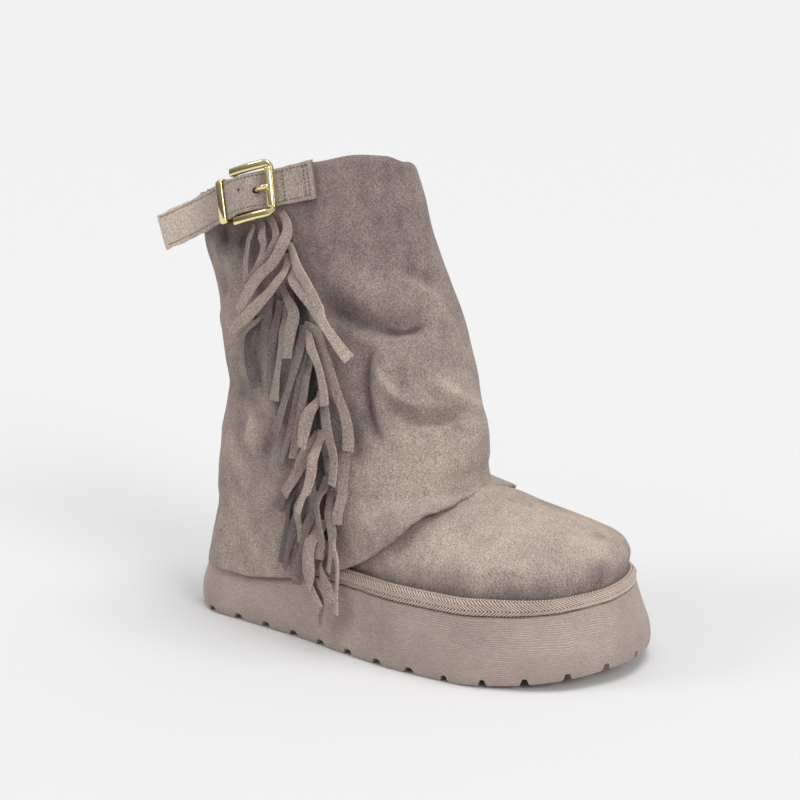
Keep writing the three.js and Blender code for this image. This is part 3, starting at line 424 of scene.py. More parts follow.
    def height_of(self, level: Array) -> Array:
        """Height of a level: 0 at the platform's top, 1 at the throat, 2 at the collar's front."""
        low = np.minimum(level, 1) * self.instep_rise
        return self.platform.height + low + np.maximum(level - 1, 0) * self.shaft_rise

    def level_of(self, height: Array) -> Array:
        """Level of a height."""
        rise = height - self.platform.height
        high = 1 + (rise - self.instep_rise) / self.shaft_rise
        return np.where(rise < self.instep_rise, rise / self.instep_rise, high)

    def line_height(self, line: dict, angle: Array) -> Array:
        """Height of a line that runs round the shaft with a level for each side."""
        share = share_of(angle)
        level = np.where(np.sin(angle) >= 0, line["lateral"](share), line["medial"](share))
        return self.height_of(level)

    def hem_height(self, angle: Array) -> Array:
        """Height of the cut hem."""
        return self.line_height(self.hem_line, angle)

    def rim_height(self, angle: Array) -> Array:
        """Height of the folded rim."""
        return self.line_height(self.rim_line, angle)

    def plain(self, angle: Array, height: Array) -> Array:
        """Points of the outer face before its folds."""
        a, z = np.broadcast_arrays(np.asarray(angle, float), np.asarray(height, float))
        level = self.level_of(z)
        s = {name: curve(level) for name, curve in self.section.items()}
        ends = s["back"] * self.platform.length, s["front"] * self.platform.length
        wide, half = (s["heel_wide"], s["toe_wide"]), (s["lateral"], s["medial"])
        x, y = self.platform.oval(a, 0.0, ends, wide, half, s["round"])
        return np.stack([x, y, z], -1)

    def outward(self, angle: Array, height: Array) -> Array:
        """Outward directions of the plain face."""
        turn, rise = 0.02, 1.5
        round_it = self.plain(angle + turn, height) - self.plain(angle - turn, height)
        upwards = self.plain(angle, height + rise) - self.plain(angle, height - rise)
        return unit(np.cross(round_it, upwards))

    def fold_heights(self, points: Array, outward: Array) -> Array:
        """How far the folds push each point of the face outwards.

        Args:
            points: points of the plain face.
            outward: its directions there.

        Returns:
            One distance for each point.
        """
        flat, out = points.reshape(-1, 3), outward.reshape(-1, 3)
        total = np.zeros(len(flat))
        for fold in self.folds:
            degrees, heights = np.array(fold.places, float).T
            corners = self.plain(np.radians(degrees), heights)
            line = thread_curve(corners, 12 * len(corners))
            way = unit(np.gradient(line, axis=0))
            near = np.abs(flat - line.mean(0)).max(1) < 2.5 * fold.width + np.ptp(line, axis=0).max()
            index = np.nonzero(near)[0]
            if not len(index):
                continue
            apart = flat[index][:, None, :] - line[None, :, :]
            distance = np.linalg.norm(apart, axis=2)
            closest = distance.argmin(1)
            rows = np.arange(len(index))
            gap = distance[rows, closest]
            along = closest / (len(line) - 1)
            fade = ease(np.minimum(along, 1 - along) * 4.0 + 0.04)
            turn = np.cross(way[closest], apart[rows, closest])
            side = np.sign((turn * out[index]).sum(1))
            reach = fold.width * np.where(side * fold.steep > 0, 1 - abs(fold.steep), 1.0)
            push = fold.depth * bell(gap / reach)
            offset = (side * gap - 1.9 * fold.width) / (1.2 * fold.width)
            push -= fold.lip * fold.depth * bell(offset)
            total[index] += push * fade
        return total.reshape(points.shape[:-1])

    def ripple(self, points: Array) -> Array:
        """Slow unevenness of soft cloth, in millimetres."""
        return rumple(points, Waves(3, 70.0, 24.0), 0.55, Waves(4, 22.0, 9.0))

    def shade_and_tone(self, angle: Array, height: Array) -> Array:
        """Painted shade and highlight, with some tone: from -1 in the folds' hollows to 1 on their ridges and
        in lighter patches.

        Args:
            angle: angles round the shaft.
            height: heights above the floor.

        Returns:
            One value for each point.
        """
        points = self.plain(angle, height)
        folds = self.fold_heights(points, self.outward(angle, height))
        # Painted shade in the folds' hollows and painted highlight on their ridges.
        value = np.where(folds < 0, folds * 0.15, folds * 0.24)
        for degrees, height, reach, strength in self.patches:
            centre = self.plain(np.radians(np.array(degrees)), np.array(float(height)))
            gap = np.linalg.norm(points - centre, axis=-1)
            value = value + strength * bell(gap / reach)
        return np.clip(value, -2.4, 1)

    def face(self, angle: Array, height: Array, stand: float = 0.0) -> Array:
        """Points of the folded face, or at a distance outside it.

        Args:
            angle: angles round the shaft.
            height: heights above the floor.
            stand: distance outwards.

        Returns:
            The points.
        """
        points = self.plain(angle, height)
        out = self.outward(angle, height)
        away = self.fold_heights(points, out) + self.ripple(points)
        calm = ease((self.rim_height(angle) - height) / 12.0)
        above = np.maximum(height - self.hem_height(angle), 0)
        away = away * calm * (0.15 + 0.85 * ease(above / 14.0))
        for degrees, reach, fade, push in self.hem_lifts:
            offset = (np.mod(np.degrees(angle), 360) - degrees) / reach
            away = away + push * np.exp(-offset ** 2 - above / fade)
        return points + out * (away + stand)[..., None]

    def side_angle(self, x: Array, height: Array) -> Array:
        """Angles on the buckled side at a distance along the foot and a height."""
        low = np.full(np.shape(x), 0.05)
        high = np.full(np.shape(x), math.pi - 0.05)
        for _ in range(36):
            middle = (low + high) / 2
            behind = self.plain(middle, height)[..., 0] < x
            low, high = np.where(behind, middle, low), np.where(behind, high, middle)
        return (low + high) / 2

    def beside(self, x: Array, height: Array, stand: Array) -> tuple:
        """Points over the buckled side and the outward directions there.

        Args:
            x: distances along the foot.
            height: heights, below the hem too.
            stand: distances outwards.

        Returns:
            The points and the directions.
        """
        held = np.maximum(height, 14.0)
        angle = self.side_angle(x, held)
        out = self.outward(angle, held)
        points = self.face(angle, held) + out * np.asarray(stand)[..., None]
        below = np.asarray(height) < held
        points[..., 2] = np.where(below, height, points[..., 2])
        return points, out


# Meshes


def grid_faces(rings: int, count: int, start: int = 0, closed: bool = False) -> list:
    """Squares between rings of points that go all the way round.

    Args:
        rings: number of rings.
        count: points in each.
        start: index of the first point.
        closed: whether the last ring joins the first.

    Returns:
        Faces as tuples of indices.
    """
    faces = []
    for r in range(rings if closed else rings - 1):
        low, high = start + r * count, start + (r + 1) % rings * count
        for i in range(count):
            j = (i + 1) % count
            faces.append((low + i, low + j, high + j, high + i))
    return faces


def ladder_faces(first: int, count: int, up: bool) -> list:
    """Rungs across a ring, from its heel to its toe."""
    faces = []
    for i in range(count // 2):
        right, left = first + i, first + (count - i) % count
        ahead, ahead_left = first + i + 1, first + count - i - 1
        face = list(dict.fromkeys([right, ahead, ahead_left, left]))
        if len(face) > 2:
            faces.append(tuple(face if up else face[::-1]))
    return faces


def add_object(name: str, data: bpy.types.ID) -> Piece:
    """A new object in the scene."""
    item = bpy.data.objects.new(name, data)
    bpy.context.scene.collection.objects.link(item)
    return item


def applied(item: Piece) -> bpy.types.Mesh:
    """A mesh of its own with the object's modifiers worked in."""
    graph = bpy.context.evaluated_depsgraph_get()
    return bpy.data.meshes.new_from_object(item.evaluated_get(graph))


def smooth_but(mesh: bpy.types.Mesh, sharp: float | None) -> None:
    """Shades a mesh smooth, but for edges that turn by more than so many degrees."""
    mesh.polygons.foreach_set("use_smooth", [True] * len(mesh.polygons))
    if sharp is not None:
        mesh.set_sharp_from_angle(angle=math.radians(sharp))


def make_piece(name: str, points: Array, faces: Sequence, sharp: float | None = None) -> Piece:
    """A mesh object from points in the shoe's millimetres.

    Args:
        name: the piece's name.
        points: its corners, heel at x = 0.
        faces: tuples of indices, pointing outwards.
        sharp: edges that turn by more than this many degrees stay sharp.

    Returns:
        The object, in the row's frame and in metres.
    """
    placed = (np.asarray(points, float) - (HEEL_MIDDLE, 0, 0)) * MILLIMETRE
    mesh = bpy.data.meshes.new(name)
    mesh.from_pydata(placed.tolist(), [], faces)
    mesh.update()
    smooth_but(mesh, sharp)
    return add_object(name, mesh)


def paint_shade_and_tone(piece: Piece, shade_and_tone: Array) -> None:
    """Keeps a value of painted shade and highlight, with some tone, at each corner, for the suede and the
    sole to read.
    """
    layer = piece.data.attributes.new("shade_and_tone", "FLOAT", "POINT")
    layer.data.foreach_set("value", np.asarray(shade_and_tone, np.float32).ravel())


def join_parts(parts: Sequence[tuple]) -> tuple:
    """One set of points and faces from several."""
    points, faces, start = [], [], 0
    for part_points, part_faces in parts:
        points.append(part_points)
        faces.extend(tuple(i + start for i in face) for face in part_faces)
        start += len(part_points)
    return np.vstack(points), faces


def sweep(centres: Array, across: Array, out: Array, section: Array,
          closed: bool = False) -> tuple:
    """A bar whose section follows a path.

    Args:
        centres: points of the path.
        across: direction of the section's first number at each.
        out: direction of its second number at each.
        section: corners of the section, or one such set for each point of the path.
        closed: whether the path joins up.

    Returns:
        Points and faces.
    """
    sections = np.broadcast_to(section, (len(centres),) + np.shape(section)[-2:])
    rings = centres[:, None] + sections[..., :1] * across[:, None] + sections[..., 1:] * out[:, None]
    count = rings.shape[1]
    faces = grid_faces(len(rings), count, 0, closed)
    if not closed:
        last = (len(rings) - 1) * count
        faces.append(tuple(range(count))[::-1])
        faces.append(tuple(last + i for i in range(count)))
    way = centres[1] - centres[0]
    turning = np.dot(np.cross(across[0], out[0]), way)
    if turning < 0:
        faces = [face[::-1] for face in faces]
    return rings.reshape(-1, 3), faces


def ribbon(centres: Array, out: Array, section: Array) -> tuple:
    """A flat bar along a path that keeps its face outwards, as points and faces."""
    way = unit(np.gradient(centres, axis=0))
    across = unit(np.cross(way, out))
    return sweep(centres, across, np.cross(across, way), section)


def rounded_section(width: float, height: float, corner: float, steps: int = 4) -> Array:
    """Corners of a rectangle with round corners, turning left."""
    places = []
    for sx, sy, start in ((1, 1, 0.0), (-1, 1, 0.5), (-1, -1, 1.0), (1, -1, 1.5)):
        for i in range(steps + 1):
            turn = math.pi * (start + 0.5 * i / steps)
            places.append((sx * (width / 2 - corner) + corner * math.cos(turn),
                           sy * (height / 2 - corner) + corner * math.sin(turn)))
    return np.array(places)


def cut_away(piece: Piece, cutters: Sequence[tuple]) -> None:
    """Takes solid shapes out of a closed piece.

    Args:
        piece: the piece to cut.
        cutters: points and faces of each shape.
    """
    points, faces = join_parts(cutters)
    tool = make_piece(piece.name + "_cutter", points, faces)
    cut = piece.modifiers.new("cut", "BOOLEAN")
    cut.operation, cut.object = "DIFFERENCE", tool
    kinds = cut.bl_rna.properties["solver"].enum_items.keys()
    cut.solver = "MANIFOLD" if "MANIFOLD" in kinds else "EXACT"
    mesh = applied(piece)
    piece.modifiers.remove(cut)
    piece.data = mesh
    bpy.data.objects.remove(tool)


# Finishes


class Tree:
    """A short way to build nodes."""

    def __init__(self, tree: bpy.types.NodeTree) -> None:
        """Goes on with a tree."""
        self.tree = tree

    def add(self, kind: str, inputs: dict, **settings: object) -> bpy.types.Node:
        """A node with its settings and its inputs, given as values or as sockets."""
        node = self.tree.nodes.new(kind)
        for key, value in settings.items():
            setattr(node, key, value)
        for key, value in inputs.items():
            self.feed(node.inputs[key], value)
        return node

    def feed(self, socket: Socket, value: object) -> None:
        """Gives an input its value, or links it."""
        if isinstance(value, Socket):
            self.tree.links.new(value, socket)
        else:
            socket.default_value = value


class Nodes(Tree):
    """A short way to build a material."""

    def __init__(self, name: str) -> None:
        """Starts a material with its shader alone."""
        self.material = bpy.data.materials.new(name)
        self.material.use_nodes = True
        super().__init__(self.material.node_tree)
        self.shader = self.tree.nodes["Principled BSDF"]
        self.coordinates = self.tree.nodes.new("ShaderNodeTexCoord").outputs["Object"]

    def noise(self, size_mm: float, detail: float = 2.0, stretch: tuple = (1, 1, 1),
              rough: float = 0.5) -> Socket:
        """Noise whose blots are about a size across."""
        spread = self.add("ShaderNodeMapping", {"Vector": self.coordinates, "Scale": stretch})
        node = self.add("ShaderNodeTexNoise", {"Vector": spread.outputs[0], "Scale": 1000 / size_mm,
                                               "Detail": detail, "Roughness": rough})
        return node.outputs["Fac"]

    def math(self, operation: str, a: object, b: object = 0.0, c: object = 0.0) -> Socket:
        """One step of arithmetic."""
        return self.add("ShaderNodeMath", {0: a, 1: b, 2: c}, operation=operation).outputs[0]

    def spread(self, value: Socket, low: float, high: float, to_low: float = 0.0,
               to_high: float = 1.0) -> Socket:
        """A value's range drawn out to another, held at its ends."""
        return self.add("ShaderNodeMapRange", {
            "Value": value, "From Min": low, "From Max": high, "To Min": to_low, "To Max": to_high,
        }).outputs[0]

    def blend(self, share: object, a: object, b: object, how: str = "MIX") -> Socket:
        """Two colours mixed."""
        node = self.add("ShaderNodeMix", {0: share, 6: a, 7: b}, data_type="RGBA", blend_type=how)
        return node.outputs[2]

    def shade(self, colour: object, tone: Socket) -> Socket:
        """A colour made lighter or darker by a tone."""
        grey = self.add("ShaderNodeCombineColor", {0: tone, 1: tone, 2: tone}).outputs[0]
        return self.blend(1.0, colour, grey, "MULTIPLY")

    def height(self) -> Socket:
        """Height over the floor."""
        return self.add("ShaderNodeSeparateXYZ", {0: self.coordinates}).outputs[2]

    def shade_and_tone(self) -> Socket:
        """The piece's own attribute of painted shade and highlight, with some tone."""
        return self.add("ShaderNodeAttribute", {}, attribute_name="shade_and_tone").outputs["Fac"]

    def bump(self, height: Socket, depth_mm: float, strength: float = 1.0,
             over: Socket | None = None) -> Socket:
        """Relief from a height, laid over other relief if given."""
        inputs = {"Height": height, "Distance": depth_mm * MILLIMETRE, "Strength": strength}
        if over is not None:
            inputs["Normal"] = over
        return self.add("ShaderNodeBump", inputs).outputs[0]

    def finish(self, colour: object, normal: object = None, rough: object = 0.5, **fixed: object) -> Material:
        """Sets the shader's sockets and gives the material."""
        wanted = {"Base Color": colour, "Roughness": rough, **fixed}
        if normal is not None:
            wanted["Normal"] = normal
        for key, value in wanted.items():
            self.feed(self.shader.inputs[key.replace("_", " ")], value)
        return self.material


def rgba(colour: Sequence[float], factor: float = 1.0) -> tuple:
    """A colour with full opacity, made lighter or darker by a factor."""
    return tuple(min(1.0, c * factor) for c in colour) + (1.0,)


@dataclass(frozen=True)
class Suede:
    """Brushed suede: soft patches where the pile lies differently, a fine grain, and each piece's own painted
    shade and highlight.
    """

    name: str = "suede"
    light: tuple = (0.500, 0.405, 0.340)
    dark: tuple = (0.186, 0.146, 0.142)
    patch: float = 0.85
    reach: float = 0.42
    grain: float = 0.62
    relief: float = 0.36
    low_tone: float = 0.58
    high_tone: float = 0.30

    def build(self) -> Material:
        """The material."""
        n = Nodes(self.name)
        lifted = n.math("MULTIPLY_ADD", n.noise(70, 2.0), 0.09, n.height())
        share = n.spread(lifted, 0.145, 0.255, self.low_tone, self.high_tone)
        brushed = n.math("ADD", n.noise(38, 4.0, (1, 1, 0.7), 0.6), n.noise(9, 4.0, (1, 1, 0.6), 0.65))
        share = n.math("MULTIPLY_ADD", n.math("SUBTRACT", brushed, 1.0), self.patch, share)
        # The piece's own painted shade and highlight moves the tone, as far as reach says.
        share = n.math("MULTIPLY_ADD", n.shade_and_tone(), self.reach, share)
        base = n.blend(n.spread(share, 0.0, 1.0), rgba(self.dark), rgba(self.light))
        speck = n.math("ADD", n.noise(0.85, 2.0, (1, 1, 0.85), 0.7), n.noise(0.5, 1.0))
        # Below zero the colour darkens further, for painted shadow in deep gaps.
        deep = n.spread(share, -0.60, -0.10, 0.22, 1.0)
        tone = n.math("MULTIPLY", n.spread(speck, 0.62, 1.38, 1 - self.grain, 1 + self.grain), deep)
        colour = n.shade(base, tone)
        coarse = n.bump(n.noise(3.6, 3.0, (1, 1, 1), 0.6), self.relief * 1.8, 0.5)
        fine = n.bump(speck, self.relief, 0.8, coarse)
        return n.finish(colour, fine, 0.95, Sheen_Weight=0.12, Sheen_Roughness=0.5,
                        Sheen_Tint=(1.0, 0.9, 0.84, 1.0), Specular_IOR_Level=0.1)


@dataclass(frozen=True)
class MouldedSole:
    """Moulded foam with fine wavy ribs round its wall."""

    name: str = "platform"
    colour: tuple = (0.458, 0.366, 0.322)
    rib_pitch: float = 1.08
    rib_depth: float = 0.24
    wave: float = 2.0

    def build(self) -> Material:
        """The material."""
        n = Nodes(self.name)
        slow = n.noise(46, 2.0, (1, 1, 1.4))
        quick = n.noise(9, 2.0, (1, 1, 3.0))
        bend = n.math("MULTIPLY_ADD", slow, self.wave * 4 * MILLIMETRE,
                      n.math("MULTIPLY", quick, self.wave * 0.45 * MILLIMETRE))
        phase = n.math("MULTIPLY", n.math("ADD", n.height(), bend), FULL_TURN / (self.rib_pitch * MILLIMETRE))
        rib = n.math("MULTIPLY_ADD", n.math("SINE", phase), 0.5, 0.5)
        patchy = n.math("MULTIPLY", n.spread(n.noise(4, 3.0, (1, 1, 2.5)), 0.3, 0.6, 0.3, 1.0),
                        n.spread(n.noise(34, 2.0), 0.36, 0.52, 0.35, 1.0))
        uneven = n.math("MULTIPLY", rib, patchy)
        ribbed = n.bump(uneven, self.rib_depth, 0.9)
        cloud = n.spread(n.noise(30, 3.0), 0.3, 0.7, 0.9, 1.1)
        # The colour follows the ribs' relief: painted shade in their grooves and painted highlight on their
        # crests.
        line = n.spread(uneven, 0.0, 1.0, 0.78, 1.18)
        fleck = n.spread(n.noise(1.1, 3.0, (1, 1, 1.6), 0.7), 0.3, 0.7, 0.82, 1.18)
        # Painted shade from the wall's own attribute darkens the colour.
        shade_tone = n.math("MULTIPLY_ADD", n.shade_and_tone(), -0.4, 1.0)
        tone = n.math("MULTIPLY", n.math("MULTIPLY", cloud, line), n.math("MULTIPLY", fleck, shade_tone))
        colour = n.shade(rgba(self.colour), tone)
        pores = n.bump(n.noise(0.8, 2.0), 0.06, 0.6, ribbed)
        return n.finish(colour, pores, 0.58, Specular_IOR_Level=0.32)


@dataclass(frozen=True)
class Woven:
    """Yarn of the tape, the lining or the thread."""

    name: str
    colour: tuple
    yarn: float = 0.5
    contrast: float = 0.14
    relief: float = 0.10

    def build(self) -> Material:
        """The material."""
        n = Nodes(self.name)
        hairs = n.noise(self.yarn, 3.0, (1, 1, 1), 0.7)
        clouds = n.spread(n.noise(22, 2.0), 0.3, 0.7, 0.93, 1.07)
        tone = n.math("MULTIPLY", n.spread(hairs, 0.3, 0.7, 1 - self.contrast, 1 + self.contrast), clouds)
        colour = n.shade(rgba(self.colour), tone)
        return n.finish(colour, n.bump(hairs, self.relief, 0.8), 0.88, Sheen_Weight=0.15,
                        Sheen_Roughness=0.5, Specular_IOR_Level=0.2)


@dataclass(frozen=True)
class Gilt:
    """Pale gold plating with faint polishing marks."""

    name: str = "gilt"
    colour: tuple = (0.94, 0.79, 0.42)
    rough: float = 0.09

    def build(self) -> Material:
        """The material."""
        n = Nodes(self.name)
        marks = n.noise(2.4, 3.0, (1, 1, 0.3), 0.6)
        rough = n.spread(marks, 0.3, 0.7, self.rough * 0.7, self.rough * 1.5)
        waves = n.bump(n.noise(5.0, 1.0), 0.05, 0.5)
        tint = n.blend(n.spread(marks, 0.2, 0.8), rgba(self.colour, 0.94), rgba(self.colour, 1.04))
        return n.finish(tint, waves, rough, Metallic=1.0)


def settle(piece: Piece, slot: str, *nodes: str, finish: Material | None = None) -> None:
    """Rides a finished piece on the body.

    Args:
        piece: the piece.
        slot: its kind of material; not used.
        nodes: the solids that it stands for.
        finish: its material, where it has none yet.
    """
    if finish is not None:
        piece.data.materials.clear()
        piece.data.materials.append(finish)
    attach(piece, "root")
    if nodes:
        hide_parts(*nodes)
    log.info("%s: %d faces", piece.name, len(piece.data.polygons))


def lined_piece(name: str, rings: Array, shades_and_tones: Array, finishes: tuple, lining: tuple) -> Piece:
    """A closed wall of rings, suede outside and lined inside.

    Args:
        name: the piece's name.
        rings: rings of points, out and back in again.
        shades_and_tones: painted shade and highlight, with some tone, at each.
        finishes: the materials outside and inside.
        lining: first and last ring of squares of the lining.

    Returns:
        The piece.
    """
    count = rings.shape[1]
    faces = grid_faces(len(rings), count, 0, True)
    piece = make_piece(name, rings.reshape(-1, 3), faces)
    for finish in finishes:
        piece.data.materials.append(finish)
    first, last = lining[0] * count, lining[1] * count
    piece.data.polygons.foreach_set("material_index", [int(first <= i < last) for i in range(len(faces))])
    paint_shade_and_tone(piece, shades_and_tones)
    return piece


# Repeated details, laid by geometry nodes


class Bead(Enum):
    """Balls that are repeated along a line, by their segments and rings."""

    YARN = (8, 6)
    FIBRE = (3, 3)


class Scatter(Tree):
    """A node tree that sets small shapes on points, turned by the points' own directions."""

    def __init__(self, bead: Bead) -> None:
        """Builds the tree for one shape."""
        super().__init__(bpy.data.node_groups.new("scatter_" + bead.name.lower(), "GeometryNodeTree"))
        face = self.tree.interface
        for way in ("INPUT", "OUTPUT"):
            face.new_socket("Geometry", in_out=way, socket_type="NodeSocketGeometry")
        self.sockets = {}
        for name, kind in (("Length", "Float"), ("Width", "Float"), ("Height", "Float"),
                           ("Unevenness", "Float"), ("Material", "Material")):
            socket = face.new_socket(name, in_out="INPUT", socket_type="NodeSocket" + kind)
            self.sockets[name] = socket.identifier
        self._wire(*bead.value)

    def _wire(self, segments: int, rings: int) -> None:
        """Makes the nodes and their links."""
        entry = self.add("NodeGroupInput", {}).outputs
        ball = self.add("GeometryNodeMeshUVSphere", {"Segments": segments, "Rings": rings, "Radius": 0.5})
        soft = self.add("GeometryNodeSetShadeSmooth", {"Geometry": ball.outputs["Mesh"]})
        size = self.add("ShaderNodeCombineXYZ", {0: entry["Length"], 1: entry["Width"], 2: entry["Height"]})
        along, out = (self.add("GeometryNodeInputNamedAttribute", {"Name": name}, data_type="FLOAT_VECTOR")
                      .outputs["Attribute"] for name in ("along", "out"))
        turn = self.add("FunctionNodeAxesToRotation", {"Primary Axis": out, "Secondary Axis": along},
                        primary_axis="Z", secondary_axis="X")
        low, high = (self.add("ShaderNodeMath", {0: 1.0, 1: entry["Unevenness"]}, operation=kind).outputs[0]
                     for kind in ("SUBTRACT", "ADD"))
        chance = self.add("FunctionNodeRandomValue", {FLOAT_MIN: low, FLOAT_MAX: high, "Seed": SCATTER_SEED},
                          data_type="FLOAT")
        grown = self.add("ShaderNodeVectorMath", {0: size.outputs[0], "Scale": chance.outputs[FLOAT_VALUE]},
                         operation="SCALE")
        lay = self.add("GeometryNodeInstanceOnPoints", {
            "Points": entry["Geometry"], "Instance": soft.outputs["Geometry"],
            "Rotation": turn.outputs[0], "Scale": grown.outputs[0],
        })
        real = self.add("GeometryNodeRealizeInstances", {"Geometry": lay.outputs["Instances"]})
        paint = self.add("GeometryNodeSetMaterial", {"Geometry": real.outputs["Geometry"],
                                                     "Material": entry["Material"]})
        self.add("NodeGroupOutput", {"Geometry": paint.outputs["Geometry"]})

    def lay(self, name: str, points: Array, along: Array, out: Array,
            size: tuple, material: Material, uneven: float = 0.08) -> Piece:
        """A piece made of the shape at every point.

        Args:
            name: the piece's name.
            points: places in the shoe's millimetres.
            along: direction of each shape's length.
            out: direction of its height.
            size: length, width and height in millimetres.
            material: its finish.
            uneven: how much the sizes vary.

        Returns:
            The piece, as a plain mesh.
        """
        seeds = make_piece(name + "_seeds", points, [])
        for key, vectors in (("along", along), ("out", out)):
            layer = seeds.data.attributes.new(key, "FLOAT_VECTOR", "POINT")
            layer.data.foreach_set("vector", np.asarray(vectors, np.float32).ravel())
        step = seeds.modifiers.new("scatter", "NODES")
        step.node_group = self.tree
        for key, value in zip(("Length", "Width", "Height"), size):
            step[self.sockets[key]] = value * MILLIMETRE
        step[self.sockets["Unevenness"]] = uneven
        step[self.sockets["Material"]] = material
        mesh = applied(seeds)
        mesh.name = name
        bpy.data.objects.remove(seeds)
        for key in ("along", "out"):
            if key in mesh.attributes:
                mesh.attributes.remove(mesh.attributes[key])
        return add_object(name, mesh)


# Sub-assemblies


@dataclass
class Outsole:
    """The moulded platform with its notched tread."""

    plan: Platform
    columns: int = 640
    notches: int = 31
    notch_phase: float = 0.6
    notch_gap: float = 6.3
    toe_notch_gap: float = 3.6
    notch_depth: float = 3.7
    dent: tuple = (137.0, 5.5, 1.6)
    # Painted shadow under the cover's hem: its height at distances along the foot.
    hem_shade: tuple = ((0, 20, 40, 60, 80, 100, 117), (27.5, 26.8, 25.6, 25.6, 29.2, 33.2, 38.0))
    notch_run: float = 22.0
    middle_lugs: int = 7
    lug_depth: float = 2.2
    notch_narrows: tuple = (175, 40)
    groove_roof: tuple = ((0.95, 0.5), (0.75, 0.88), (0.3, 1.0))
    sharp: float = 34
    # Painted shadow smears below the fringe: their height band, then strength, place, width and lean of each.
    shadow_band: tuple = (19, 13)
    shadow_smears: tuple = ((0.75, 133.0, 5.5, 0.3), (0.30, 163.0, 9.0, 0.0))
    # Strength and reach of the painted shadow under the hem.
    hem_line: tuple = (1.3, 2.4)
    # How much lighter the wall is towards the heel, and over what distance.
    lighter_heel: tuple = (0.32, 90)
    wall: tuple = (
        (0.00, 0.00, 1.6), (0.02, 0.00, 0.9), (0.05, 0.00, 0.5), (0.13, 0.00, 0.1), (0.30, 0.06, 0.0),
        (0.65, 0.53, 0.0), (0.955, 0.96, 0.0), (0.985, 0.99, 0.25), (1.00, 1.00, 1.0),
    )

    def wall_rings(self) -> Array:
        """Rings of the wall from the floor to the top."""
        up, flare, corner = np.array(self.wall).T
        flare_at, corner_at = smooth_curve(up, flare), smooth_curve(up, corner)
        steps = np.unique(np.concatenate([np.linspace(0, 0.15, 9), np.linspace(0.15, 0.95, 16), up]))
        angle = around(self.columns)
        rings = []
        for step in steps:
            share, depth = float(flare_at(np.array(step))), float(corner_at(np.array(step)))
            plan = self.plan.inset(angle, share, depth)
            place, reach, push = self.dent
            hollow = push * bell((plan[:, 0] - place) / reach) * (plan[:, 1] < 0)
            hollow = hollow * math.sin(math.pi * min(1.0, step * 1.1)) ** 2
            plan = plan - self.plan.outward(angle) * hollow[:, None]
            low, high = self.plan.floor_rise(plan[:, 0]), self.plan.top(plan[:, 0])
            rings.append(np.column_stack([plan, mix(low, high, step)]))
        return np.array(rings)

    def groove(self, start: Array, way: Array, run: float, depth: float, gap: float) -> tuple:
        """A cutter with sloped flanks and a rounded roof, from inside the sole out past its edge."""
        half = gap / 2
        right = [(half + 1.6, -2.0), (half + 0.6, 0.5)]
        right += [(half * across, depth * rise) for across, rise in self.groove_roof]
        left = [(-across, rise) for across, rise in right]
        section = np.array(left[:1] + right + left[:0:-1])
        side = np.array([-way[1], way[0], 0.0])
        up = np.array([0.0, 0.0, 1.0])
        centres = np.array([start, start + way * run])
        return sweep(centres, np.tile(side, (2, 1)), np.tile(up, (2, 1)), section)

    def grooves(self) -> list:
        """Cutters of the edge notches and of the grooves between the middle lugs."""
        fine = np.linspace(0, FULL_TURN, 1441)
        run = run_length(self.plan.widest(fine))
        places = (np.arange(self.notches) + self.notch_phase) * run[-1] / self.notches
        cutters = []
        for angle in np.interp(places, run, fine):
            spot = self.plan.widest(np.array([angle]))[0]
            out = self.plan.outward(np.array([angle]))[0]
            start = spot - out * self.notch_run
            low, high = (float(self.plan.floor_rise(x)) for x in (start[0], spot[0]))
            base = np.array([start[0], start[1], low])
            way = np.array([out[0], out[1], (high - low) / self.notch_run])
            start_at, over = self.notch_narrows
            gap = float(mix(self.notch_gap, self.toe_notch_gap, ease((spot[0] - start_at) / over)))
            cutters.append(self.groove(base, way, self.notch_run + 5, self.notch_depth, gap))
        for x in np.linspace(0.22, 0.86, self.middle_lugs + 1) * self.plan.length:
            base = np.array([x, -15.0, float(self.plan.floor_rise(x))])
            cutters.append(self.groove(base, np.array([0.0, 1.0, 0.0]), 30, self.lug_depth, self.notch_gap))
        return cutters

    def build(self, finish: Material) -> None:
        """Makes the platform."""
        rings = self.wall_rings()
        count = self.columns
        faces = grid_faces(len(rings), count)
        faces += ladder_faces(0, count, False) + ladder_faces((len(rings) - 1) * count, count, True)
        piece = make_piece("platform", rings.reshape(-1, 3), faces)
        cut_away(piece, self.grooves())
        smooth_but(piece.data, self.sharp)
        paint_shade_and_tone(piece, self.wall_shade(piece))
        settle(piece, "platform", "outsole", finish=finish)

    def wall_shade(self, piece: Piece) -> Array:
        """How much painted shade each point of the wall gets: smears of shadow below the fringe and a shadow
        line under the hem; below 0 it is lighter than the rest, towards the heel.
        """
        points = np.empty(len(piece.data.vertices) * 3)
        piece.data.vertices.foreach_get("co", points)
        points = points.reshape(-1, 3) / MILLIMETRE + (HEEL_MIDDLE, 0, 0)
        x, y, z = points.T
        middle, reach = self.shadow_band
        # Painted shadow smears below the fringe.
        near = (y < 0) * bell((z - middle) / reach)
        value = sum(dark * near * bell((x - at - lean * (z - middle)) / wide)
                    for dark, at, wide, lean in self.shadow_smears)
        # Painted shadow under the cover's hem.
        hem = np.interp(x, *self.hem_shade)
        along = ease((x - 18) / 30) * ease((122 - x) / 20)
        dark, wide = self.hem_line
        value += dark * (y < 0) * along * bell((z - hem) / wide)
        # Lighter towards the heel.
        less, end = self.lighter_heel
        return value - less * np.clip(1 - x / end, 0, 1)


